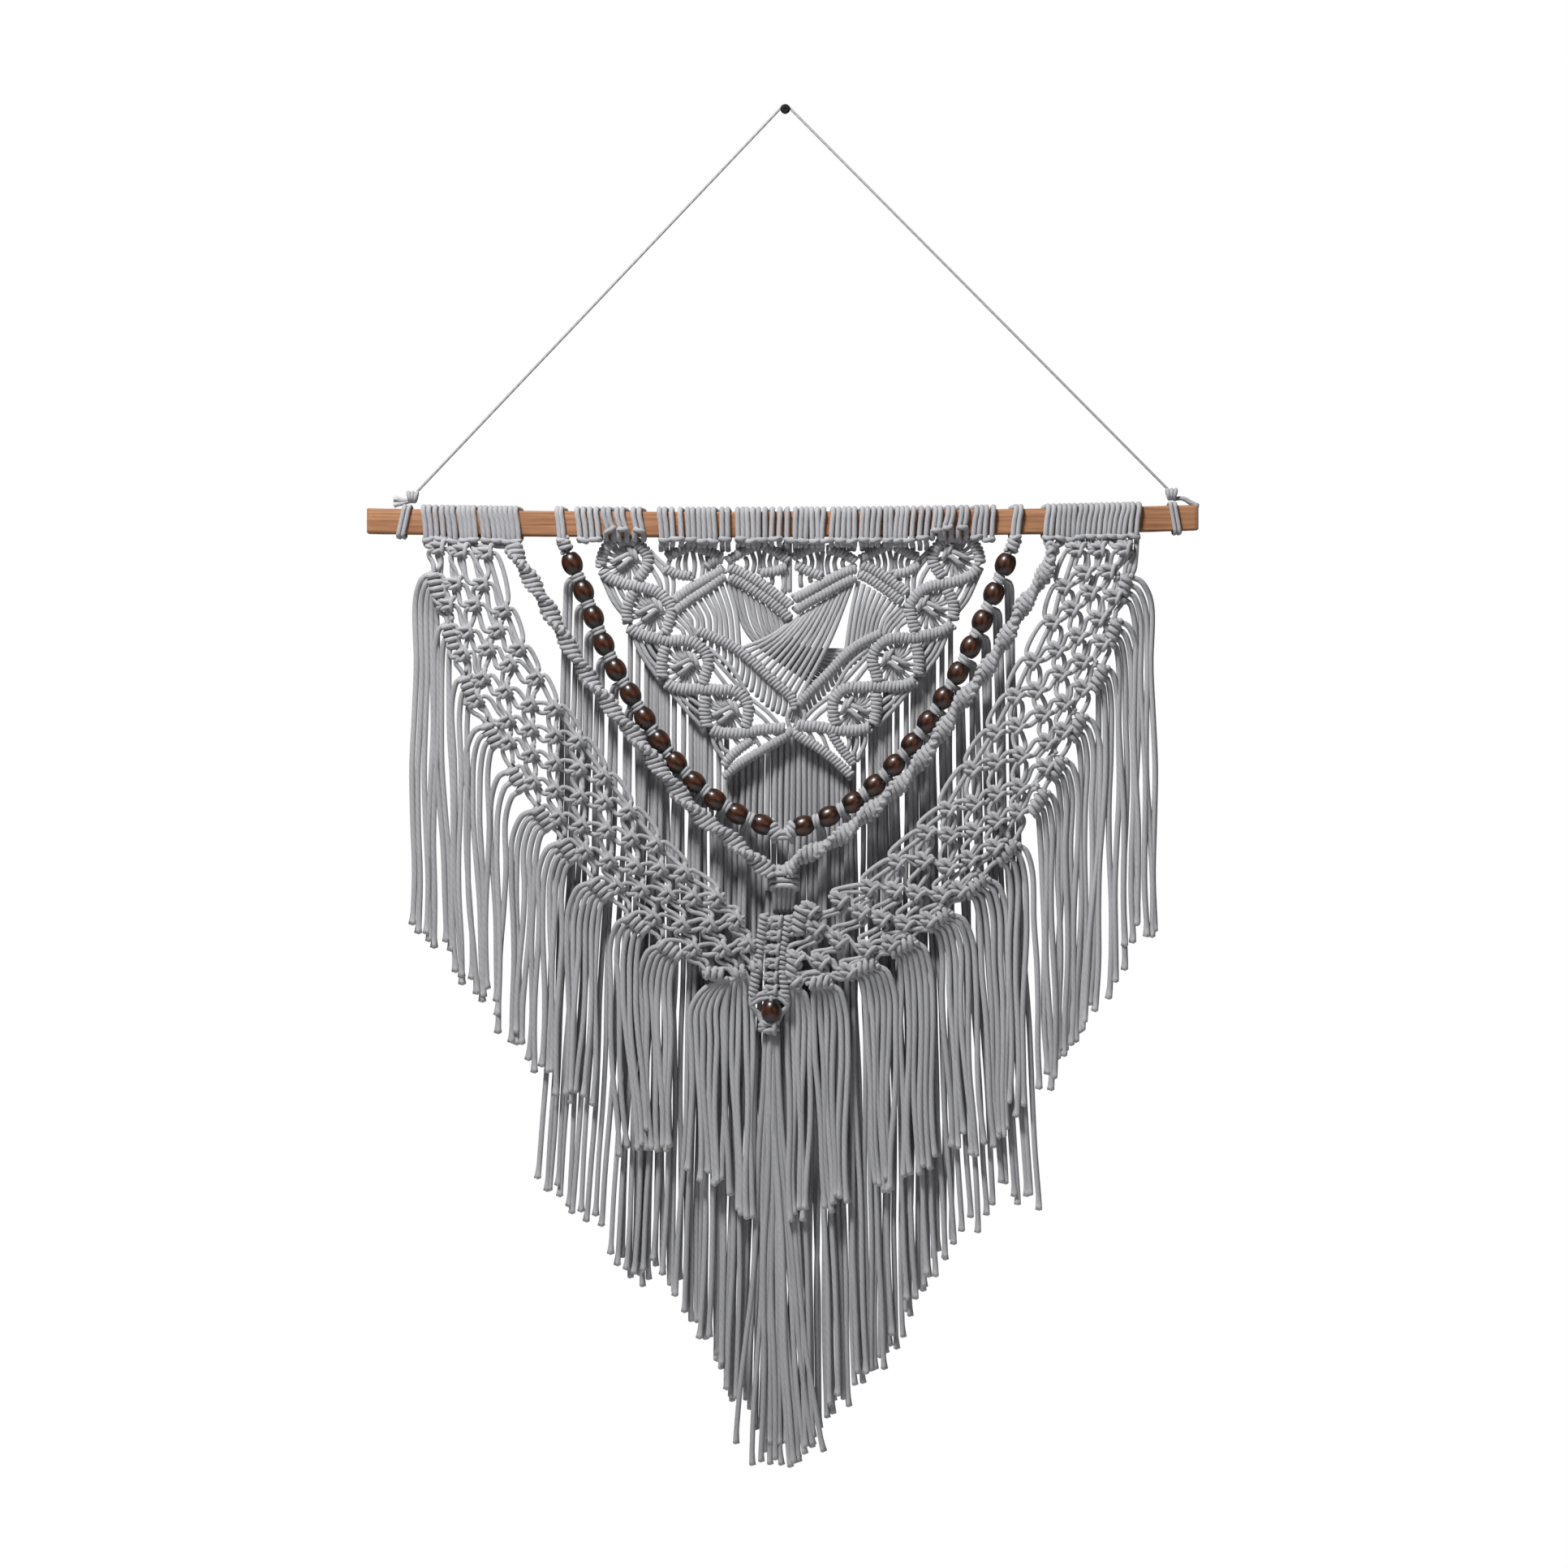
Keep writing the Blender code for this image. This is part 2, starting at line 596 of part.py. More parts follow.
def half_net(work, side, bar):
    """One arm of the V: columns of an inner knot, a crossing and an outer hitch, each joined to the next."""
    centre = -side  # the side of a knot that faces the middle
    inner, middle, outer = [], [], []
    for station in NET_COLUMNS:
        a = net_edge(side, station, 0) + (side * 3.0, 0)
        c = net_edge(side, station, 1) - (side * 3.5, 0)
        b = (a + c) / 2
        lean = -side * radians(8)
        inner.append(work.knot(a[0], NET_Y, a[1], 5.6, 6.4, 4.6, lean=lean))
        middle.append(work.knot(b[0], NET_Y, b[1], 4.4, 3.8, 4.0, ridges=1))
        outer.append(work.knot(c[0], NET_Y, c[1], 5.2, 7.4, 4.6, lean=-2 * lean))
    x_from, x_to, pairs = NET_SLEEVES[side]
    sleeve = work.sleeve(x_from, x_to, pairs)
    for knot, corner, ridge in ((outer[0], side, 0), (middle[0], side, 2), (inner[0], side, 3), (inner[0], centre, 5)):
        ridge = ridge if side < 0 else pairs - 1 - ridge
        work.strand(work.open_side(sleeve[LOWER_FRONT, ridge]), work.take(knot[corner, 1]), 2.4, 2.0)

    def join(upper, lower, start, end, pull=0.7):
        work.strand(work.take(upper[start, -1]), work.take(lower[end, 1]), 2.5, 2.0, pull=pull)

    for k in range(len(NET_COLUMNS)):
        join(inner[k], middle[k], side, centre)
        join(middle[k], outer[k], side, centre)
        if k + 1 < len(NET_COLUMNS):
            join(inner[k], inner[k + 1], centre, centre, 0.9)
            join(middle[k], inner[k + 1], centre, side)
            join(outer[k], middle[k + 1], centre, side)
            join(outer[k], outer[k + 1], side, side)
    away = BELOW if side < 0 else ABOVE  # the bar's side that faces this arm
    ends = ((inner[-1], centre, 0), (middle[-1], centre, 2), (outer[-1], centre, 4), (outer[-1], side, 6))
    for knot, corner, ridge in ends:
        work.strand(work.take(knot[corner, -1]), work.open_side(bar[away, ridge]), 2.5, 2.0)


# --- The twisted sinnet and the beaded cord -----------------------------------------------------------------------
def make_spiral():
    """Half knots twist as they are tied, so the sinnet turns half round at every lump."""
    work = Knotwork()
    join = work.knot(JOIN[0], JOIN_Y, JOIN[1], 9.2, 6.4, 4.8, ridges=3)
    for side in (-1, 1):
        x_from, x_to, pairs = SPIRAL_SLEEVES[side]
        sleeve = work.sleeve(x_from, x_to, pairs)
        start = work.open_side(sleeve[LOWER_FRONT, 0])
        end = work.take(join[side, 1])
        end = Port(end.loop, unit(np.array((side, 0.0, 0.8))))
        route = at_depth(SPIRAL_ROUTE[side], SPIRAL_Y)
        work.strand(start, end, 5.3, 3.4, bands=33, via=route, turns=11)
    work.make("spiral", COTTON)


def bead_axes(side):
    """Each bead's middle and the direction of its bore, from the rod down."""
    places = np.array(at_depth(BEAD_PLACES[side], BEAD_Y))
    return places, [unit(step) for step in np.gradient(places, axis=0)]


def make_bead_cord():
    """A core through the beads, with two turns of wrapping between each bead and the next."""
    work = Knotwork()
    knot_x, knot_z = (BEAD_PLACES[-1][-1][0] + BEAD_PLACES[1][-1][0]) / 2, -533.4
    knot = work.knot(knot_x, BEAD_Y, knot_z, 5.6, 4.4, 4.4)
    for side in (-1, 1):
        x_from, x_to, pairs = BEAD_SLEEVES[side]
        sleeve = work.sleeve(x_from, x_to, pairs)
        last = work.open_side(sleeve[LOWER_FRONT, 0])
        loop, along = last.loop, last.out
        places, axes = bead_axes(side)

        def ring(centre, direction, radius):
            nonlocal loop, along
            across = unit(np.cross(direction, DEPTH_AXIS))
            angles = [radians(90 + 72 * k) for k in range(5)]
            fresh = work.ring(centre + radius * (cos(a) * across + sin(a) * DEPTH_AXIS) for a in angles)
            work.bridge(loop, fresh, along, direction)
            loop, along = fresh, direction

        half = BEAD_LENGTH / 2
        first = places[0] - (half + GAP) * axes[0]
        ring(first - 5.5 * axes[0], axes[0], 4.6)
        ring(first - 3.2 * axes[0], axes[0], 3.4)
        ring(first - 1.0 * axes[0], axes[0], 4.8)
        ring(first, axes[0], 2.4)
        for k in range(len(places)):
            a = places[k] + (half + GAP) * axes[k]
            ring(a, axes[k], 2.4)
            if k + 1 == len(places):
                break
            b = places[k + 1] - (half + GAP) * axes[k + 1]
            middle, way = (a + b) / 2, unit(b - a)
            span = np.linalg.norm(b - a)
            inset = max(0.14 * span, 0.9)
            ring(a + inset * way, way, 5.0)
            ring(middle, way, 4.2)
            ring(b - inset * way, way, 5.0)
            ring(b, axes[k + 1], 2.4)
        work.strand(Port(loop, along), work.take(knot[side, 1]), 3.0, 3.0, bands=2)
    work.make("bead_cord", COTTON)


def bead_mesh(name):
    """A barrel with a bore, turned by a Screw modifier from half of its section."""
    mesh = bpy.data.meshes.new(name)
    half = BEAD_LENGTH / 2
    profile = ((BEAD_END_RADIUS, half), (BEAD_RADIUS, 0.45 * half), (BEAD_RADIUS, -0.45 * half),
               (BEAD_END_RADIUS, -half), (BEAD_BORE, -half), (BEAD_BORE, half))
    points = [(MM * r, 0, MM * z) for r, z in profile]
    mesh.from_pydata(points, [(k, (k + 1) % len(points)) for k in range(len(points))], [])
    return mesh


def make_bead(name, mesh, place, direction):
    obj = bpy.data.objects.new(name, mesh)
    bpy.context.scene.collection.objects.link(obj)
    obj.location = [MM * v for v in place]
    obj.rotation_mode = "QUATERNION"
    obj.rotation_quaternion = Vector(direction).to_track_quat("Z", "Y")
    turn = obj.modifiers.new("turn", "SCREW")
    turn.steps = turn.render_steps = 7
    turn.use_merge_vertices = True
    turn.merge_threshold = 0.00001
    turn.use_smooth_shade = True
    return obj


def make_beads():
    shared = bead_mesh("bead")
    material = bpy.data.materials.new("bead")
    material.use_nodes = True
    shader = material.node_tree.nodes["Principled BSDF"]
    shader.inputs["Base Color"].default_value = (*DARK_WOOD[0], 1)
    shader.inputs["Roughness"].default_value = DARK_WOOD[1]
    shared.materials.append(material)
    for side, word in ((-1, "left"), (1, "right")):
        for k, (place, axis) in enumerate(zip(*bead_axes(side)), 1):
            make_bead(f"bead_{word}_{k:02d}", shared, place, axis)
    make_bead("bead_tail", shared, (TAIL_BEAD[0], TAIL_BEAD_Y, TAIL_BEAD[1]), (0, 0, 1))


# --- The centre panel -----------------------------------------------------------------------------------------------
def make_panel():
    work = Knotwork()
    sleeves = [work.sleeve(*row) for row in PANEL_SLEEVES]
    y = PANEL_Y
    leaf = work.bar(at_depth(LEAF_BAR, y), 3.6, 4.0, 20)
    zigzag = work.bar(at_depth(ZIGZAG_BAR, y), 5.6, 4.4, 20)
    v_bar = work.bar(at_depth(V_BAR, y), 3.3, 4.0, 18)
    foot = work.bar(at_depth(FOOT_BAR, y), 3.4, 4.0, 13)
    lower = work.bar(at_depth(LOWER_FOOT_BAR, y), 3.4, 4.0, 11)

    def link(start, end, half_width=1.9, **how):
        work.strand(work.open_side(start), work.open_side(end), half_width, 1.9, **how)

    def drop(upper, under, places, **how):
        """Cords from one bar to the next below it. places has a row for each: x above, x below."""
        for x, under_x in places:
            link(work.near(upper, BELOW, x), work.near(under, ABOVE, under_x), **how)

    for x in range(-78, 100, 19):
        link(work.near(sleeves[1], UNDER, x), work.near(leaf, ABOVE, x), 2.2, bands=1)
    drop(leaf, zigzag, [(x, x) for x in (-72, -58, -28, -12, 17, 34, 66, 80)], bands=1)
    drop(zigzag, v_bar, ((-70, -57), (-55, -48), (-42, -38), (77, 63), (62, 54), (50, 44)))
    for k in range(3):
        crossing(work, work.near(zigzag, BELOW, 16 + 11 * k), work.near(v_bar, ABOVE, -6 - 9 * k), -3.2)
        crossing(work, work.near(zigzag, BELOW, -8 - 11 * k), work.near(v_bar, ABOVE, 18 + 8 * k), 3.2)
    drop(v_bar, foot, ((-32, -25), (-16, -12), (30, 12), (44, 28)))
    drop(foot, lower, ((-34, -34), (-12, -12), (20, 18), (40, 38)), bands=1)
    for side in (-1, 1):
        diamond_chain(work, side, sleeves, zigzag, v_bar, foot)
    work.make("panel", COTTON)


def crossing(work, start, end, depth):
    """A long cord that sweeps across to the other arm of the V bar, in front of the bars' depth or behind it."""
    start, end = work.open_side(start), work.open_side(end)
    p, q = work.middle(start.loop), work.middle(end.loop)
    via = [p + (q - p) * 0.3 + (0, depth, -4), p + (q - p) * 0.7 + (0, depth, 0)]
    work.strand(start, end, 1.9, 1.3, bands=4, via=via)


def diamond_chain(work, side, sleeves, zigzag, v_bar, foot):
    """Four ridged diamonds, each round a small woven knot, hung from the rod and joined by curved cords."""
    rings = [diamond(work, x, z) for x, z in DIAMONDS[side]]

    def tie(start, end, half_width=2.0, **how):
        work.strand(work.open_side(start), work.open_side(end), half_width, 1.9, **how)

    def mirrored(ridge):
        return ridge if side < 0 else (DIAMOND_RIDGES // 2 - ridge) % DIAMOND_RIDGES

    sleeve = sleeves[0] if side < 0 else sleeves[2]
    for reach, corner in ((12, 3), (-10, 1)):
        x = DIAMONDS[side][0][0] + side * reach
        tie(work.near(sleeve, UNDER, x), rings[0][OUTER, mirrored(corner)], 2.6, bands=1)
    for upper, under in zip(rings, rings[1:]):
        for start, end in ((7, 2), (6, 3), (5, 4)):
            tie(upper[OUTER, mirrored(start)], under[OUTER, mirrored(end)], bands=2, pull=1.1)
    first, last = (0, -1) if side < 0 else (-1, 0)
    tie(zigzag[END, first], rings[1][OUTER, mirrored(0)], 2.6, bands=1)
    tie(v_bar[END, first], rings[2][OUTER, mirrored(1)], bands=2)
    for start, reach in ((5, 12), (7, -12)):
        x = DIAMONDS[side][3][0] + side * reach
        tie(rings[3][OUTER, mirrored(start)], work.near(foot, ABOVE, x), bands=1)


def diamond(work, x, z):
    """A closed ridged bar. Ridge 0 lies at +X, ridge 2 on top. Four cords hold a knot in it."""
    steps = 2 * DIAMOND_RIDGES
    round_it = [
        (x + DIAMOND_RADIUS * cos(a), PANEL_Y, z + DIAMOND_RADIUS * sin(a))
        for a in (2 * pi * (k - 1) / steps for k in range(steps + 1))
    ]
    ring = work.bar(round_it, 3.4, 4.2, DIAMOND_RIDGES, closed=True)
    knot = work.knot(x, PANEL_Y - 0.6, z, 3.6, 3.4, 3.8)
    for corner, ridge in (((1, 1), 1), ((-1, 1), 3), ((-1, -1), 5), ((1, -1), 7)):
        work.strand(work.take(knot[corner]), work.open_side(ring[INNER, ridge]), 1.6, 1.9, bands=1)
    return ring


# --- Fringes ----------------------------------------------------------------------------------------------------------
def hang(name, roots, hang_x, ends, y, backing, radius=1.95, sway=1.2):
    """Strands side by side from a narrow backing. roots is the backing's path, one step for each strand."""
    work = Knotwork()
    ports = work.strip(roots, *backing)
    ends_x, ends_z = np.array(ends).T
    for k, port in enumerate(ports):
        x = hang_x[k]
        top = work.middle(port.loop)
        end = np.interp(x, ends_x, ends_z) + 7 * sin(2.4 * k) + 3 * sin(5.1 * k)
        depth = y + SWAY_Y * sin(2.1 * k)
        shoulder = (x, depth, top[2] - 7 - 0.6 * abs(top[0] - x))
        work.lock(port, [shoulder, (x + sway * sin(0.35 * k), depth, end)], radius)
    work.make(name, COTTON)


def even_x(path, x_from, x_to, count, y):
    """Points on a path of (x, z) whose x goes up, at even steps in x, with count steps."""
    x = np.linspace(x_from, x_to, count + 1)
    path_x, path_z = np.array(path).T
    return np.column_stack((x, np.full(count + 1, y), np.interp(x, path_x, path_z)))


def make_net_fringe(side, name, count):
    """It hangs from a strip behind the hitches."""
    stations = np.linspace(0.2, 5.9, 40)
    edge = np.array([net_edge(side, s, 1) for s in stations]) + (side * 2.0, -2.0)
    if side > 0:
        edge = edge[::-1]
    roots = even_x(edge, edge[0, 0], edge[-1, 0], count, NET_FRINGE_Y)
    middles = (roots[1:, 0] + roots[:-1, 0]) / 2
    spread = np.linspace(9.0, 2.0, count) if side < 0 else np.linspace(2.0, 9.0, count)
    hang(name, roots, middles + side * spread, NET_FRINGE_ENDS[side], NET_FRINGE_Y, (1.5, 1.8))


def make_bead_strands():
    """They leave the wraps between the beads and hang behind them."""
    path = [*BEAD_PLACES[-1], *reversed(BEAD_PLACES[1])]
    roots = even_x(path, -160.0, 165.0, 54, BEAD_STRAND_Y)
    middles = (roots[1:, 0] + roots[:-1, 0]) / 2
    hang("bead_strands", roots, middles * 1.04, BACK_ENDS, BEAD_STRAND_Y, (2.0, 2.2))


def make_panel_strands():
    backing_y = PANEL_Y + 0.8 * 4.2 + GAP + 2.2
    back_y = backing_y + 1.0
    for name, path, count in (
        ("panel_strands_centre", LOWER_FOOT_BAR, 18),
        ("panel_strands_left", ((-88.0, -412.0), (-56.0, -452.0)), 6),
        ("panel_strands_right", ((62.0, -452.0), (100.0, -402.0)), 7),
    ):
        roots = even_x(path, path[0][0], path[-1][0], count, backing_y)
        middles = (roots[1:, 0] + roots[:-1, 0]) / 2
        ends = [(x, z + 22) for x, z in BACK_ENDS]
        hang(name, roots, middles, ends, back_y, (2.2, 2.0))


def make_spiral_strands():
    """They leave the foot of the joining knot and pass behind the net's point."""
    z = JOIN[1] - 6.4 - GAP - 2.0
    roots = even_x(((-14.0, z), (12.0, z)), -10.6, 8.8, 5, JOIN_STRAND_Y - 1.5)
    middles = (roots[1:, 0] + roots[:-1, 0]) / 2
    hang("spiral_strands", roots, middles * 1.5 + 4, BACK_ENDS, JOIN_STRAND_Y, (2.0, 2.2))


def make_tail():
    """The knot under the tail bead, its two legs past the bead, and its strands in two rows."""
    work = Knotwork()
    x, z = TAIL_KNOT
    half_width, half_depth = 7.6, 4.4
    columns, rows = 5, 2
    levels = ((z + 5.0, 0.8), (z + 2.5, 1.0), (z, 0.86), (z - 2.5, 1.0), (z - 5.0, 0.9))
    grids = []
    for level, size in levels:
        across = [x + size * half_width * (2 * i / columns - 1) for i in range(columns + 1)]
        depths = [NET_Y + size * half_depth * (2 * j / rows - 1) for j in range(rows + 1)]
        grids.append([work.ring((u, v, level) for u in across) for v in depths])

    def rim(grid):
        around = grid[0][:-1] + [row[-1] for row in grid[:-1]]
        return around + grid[-1][:0:-1] + [row[0] for row in grid[:0:-1]]

    for upper, under in zip(grids, grids[1:]):
        a, b = rim(upper), rim(under)
        for k in range(len(a)):
            n = (k + 1) % len(a)
            work.face((a[k], a[n], b[n], b[k]))
    top, bottom = grids[0], grids[-1]
    legs = {}
    for j in range(rows):
        for i in range(columns):
            quad = [top[j][i], top[j][i + 1], top[j + 1][i + 1], top[j + 1][i]]
            if j == 0 and i in (0, columns - 1):
                legs[i] = quad
            else:
                work.face(quad)
            under = [bottom[j][i], bottom[j][i + 1], bottom[j + 1][i + 1], bottom[j + 1][i]]
            reach = (i - (columns - 1) / 2) * 5.2
            depth = NET_Y + (2 * j - 1) * 2.6
            end = TAIL_END_Z + 9 * sin(1.9 * i + 2.6 * j)
            path = [(x + 0.85 * reach, depth, z - 22), (x + 1.15 * reach + 1.5 * sin(2 * i + j), depth, end)]
            work.lock(Port(under, DOWN), path, 1.9)
    for i, sign in ((0, -1), (columns - 1, 1)):
        bar_x = POINT_BARS[sign][-1][0]
        spot = work.middle(legs[i])
        beside = TAIL_BEAD[0] + sign * (BEAD_RADIUS + GAP + 1.9)
        level = POINT_BARS[sign][-1][1] - GAP - 0.6
        path = [(beside, spot[1], TAIL_BEAD[1] - 5.6), (beside, spot[1], TAIL_BEAD[1] + 4.0), (bar_x, spot[1], level)]
        work.lock(Port(legs[i], -DOWN), path, 1.5)
    work.make("tail_tassel", COTTON)


def main():
    clear_scene()
    make_rod()
    make_screw()
    make_hanging_cord()
    make_tie(-1, "tie_left")
    make_tie(1, "tie_right")
    make_net()
    make_spiral()
    make_bead_cord()
    make_beads()
    make_panel()
    make_net_fringe(-1, "net_fringe_left", 40)
    make_net_fringe(1, "net_fringe_right", 44)
    make_bead_strands()
    make_panel_strands()
    make_spiral_strands()
    make_tail()


main()
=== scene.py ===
# %% [markdown]
# A macrame wall hanging: grey cotton cord knotted into V bands on a squared rod, with dark beads, a knotted
# panel in the middle and a long fringe. The solids of the frame hold its shape and size. This lesson
# dresses them cord by cord. A real hanging is nothing but cord, so one helper that sweeps a tube along a
# path does most of the work, and each kind of knot is only a path.

# %% The frame
import json
from math import cos, pi, radians, sin

import bpy
import numpy as np
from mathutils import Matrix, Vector

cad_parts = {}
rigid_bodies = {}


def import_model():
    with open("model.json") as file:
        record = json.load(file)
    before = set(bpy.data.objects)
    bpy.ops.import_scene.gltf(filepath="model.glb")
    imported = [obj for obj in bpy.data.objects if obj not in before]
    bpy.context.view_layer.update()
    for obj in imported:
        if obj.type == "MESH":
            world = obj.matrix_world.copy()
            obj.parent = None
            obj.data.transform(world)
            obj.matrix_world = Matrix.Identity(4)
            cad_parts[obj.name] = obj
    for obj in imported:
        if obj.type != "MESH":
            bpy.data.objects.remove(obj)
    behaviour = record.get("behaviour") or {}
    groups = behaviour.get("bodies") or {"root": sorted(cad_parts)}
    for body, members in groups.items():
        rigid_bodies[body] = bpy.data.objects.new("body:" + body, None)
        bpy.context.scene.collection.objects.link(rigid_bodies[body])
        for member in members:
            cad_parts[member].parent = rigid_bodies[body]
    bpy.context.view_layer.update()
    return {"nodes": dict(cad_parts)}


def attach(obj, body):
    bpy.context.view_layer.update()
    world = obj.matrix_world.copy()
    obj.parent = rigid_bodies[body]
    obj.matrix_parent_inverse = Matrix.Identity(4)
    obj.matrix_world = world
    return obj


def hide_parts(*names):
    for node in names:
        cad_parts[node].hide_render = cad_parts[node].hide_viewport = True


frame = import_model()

rng = np.random.default_rng(7)
print("frame:", len(frame["nodes"]), "nodes")

# %% [markdown]
# Places on a knotted piece are easiest to read off a photograph that was taken square on. This cell sets
# one scale for them. Most tables below give x and y in the photograph's pixels, and places() turns them
# into millimetres from the screw, with x to the right and z up. Depth is given apart, in millimetres from
# the wall, and the more negative it is, the nearer the viewer.

# %% Scale and depths
MM = 0.001
PIXEL = 0.5954  # millimetres
SCREW_AT = (967.5, 133.0)
CORD_R = 2.1  # radius of the knotting cord

ROD_FRONT, ROD_BACK, ROD_MID = -21.6, -5.6, -13.6
ROD_HALF_HEIGHT, ROD_HALF_DEPTH = 9.25, 8.0
NET_Y, NET_FRINGE_Y = -26.0, -19.8
SPIRAL_Y, JOIN_Y, JOIN_STRAND_Y = -29.0, -24.0, -15.2
BEAD_Y, TAIL_BEAD_Y, BEAD_STRAND_Y = -23.0, -28.4, -12.6
PANEL_Y, PANEL_STRAND_Y = -14.0, -7.1
SIDES = {-1: "left", 1: "right"}


def table(text, width=2):
    """The numbers of a text as arrays with width numbers to a row. Each comma starts a new array."""
    return [np.array(part.split(), float).reshape(-1, width) for part in text.split(",")]


def places(pixels, y=None):
    """Pixels as an array of x, z in millimetres, or of x, y, z where a depth is given."""
    p = np.asarray(pixels, float)
    x = (p[:, 0] - SCREW_AT[0]) * PIXEL
    z = (SCREW_AT[1] - p[:, 1]) * PIXEL
    return np.column_stack((x, z)) if y is None else np.column_stack((x, np.broadcast_to(y, x.shape), z))


def rod_z(x):
    """Height of the rod's middle, which is bowed and hangs a little out of level."""
    return -305.2 + 0.0043 * x + 3.6 * (x / 304.95) ** 2


def reach_along(path):
    """How far along a path each of its points lies."""
    return np.concatenate(((0,), np.cumsum(np.linalg.norm(np.diff(path, axis=0), axis=1))))


def through(points, step):
    """Points at about equal steps along a smooth curve through the given points."""
    p = np.asarray(points, float)
    held = np.vstack((2 * p[0] - p[1], p, 2 * p[-1] - p[-2]))
    t = np.linspace(0, 1, 9)[:-1, None]
    fine = [0.5 * (2 * b + (c - a) * t + (2 * a - 5 * b + 4 * c - d) * t**2 + (3 * b - a - 3 * c + d) * t**3)
            for a, b, c, d in zip(held, held[1:], held[2:], held[3:])]
    fine = np.vstack((*fine, p[-1:]))
    reach = reach_along(fine)
    steps = np.linspace(0, reach[-1], max(2, int(round(reach[-1] / step)) + 1))
    return np.column_stack([np.interp(steps, reach, fine[:, k]) for k in range(p.shape[1])])


def unit(vector):
    return vector / np.linalg.norm(vector)


print("one pixel is", PIXEL, "mm, and the cord is", round(2 * CORD_R / PIXEL, 1), "pixels wide")

# %% [markdown]
# The camera comes first, because every choice after it is judged through it. The photograph shows no
# perspective to speak of, so a long lens from three metres away gives its flat look. The camera stands
# square to the wall at the middle of the picture.

# %% Camera
LENS, SENSOR = 100.0, 36.0
PICTURE, MIDDLE = 1932, 966  # pixels
camera_data = bpy.data.cameras.new("camera")
camera_data.lens, camera_data.sensor_width = LENS, SENSOR
camera = bpy.data.objects.new("camera", camera_data)
camera.location = ((MIDDLE - SCREW_AT[0]) * PIXEL * MM, -0.02 - PICTURE * PIXEL * MM * LENS / SENSOR,
                   (SCREW_AT[1] - MIDDLE) * PIXEL * MM)
camera.rotation_euler = (pi / 2, 0, 0)
bpy.context.scene.collection.objects.link(camera)
bpy.context.scene.camera = camera
print("camera at", [round(v, 3) for v in camera.location])

# %% [markdown]
# A cord could be a curve with a bevel. A curve can't carry a value for each point into its material,
# though, and hundreds of them are slow. So cords are gathered as tubes in one mesh. Each ring of a tube is
# square to the path, and its sideways direction is carried from ring to ring so that the tube doesn't
# twist. Two attributes go with the points: tint, one random value for each cord, and tip, which rises to 1
# at a cut end.

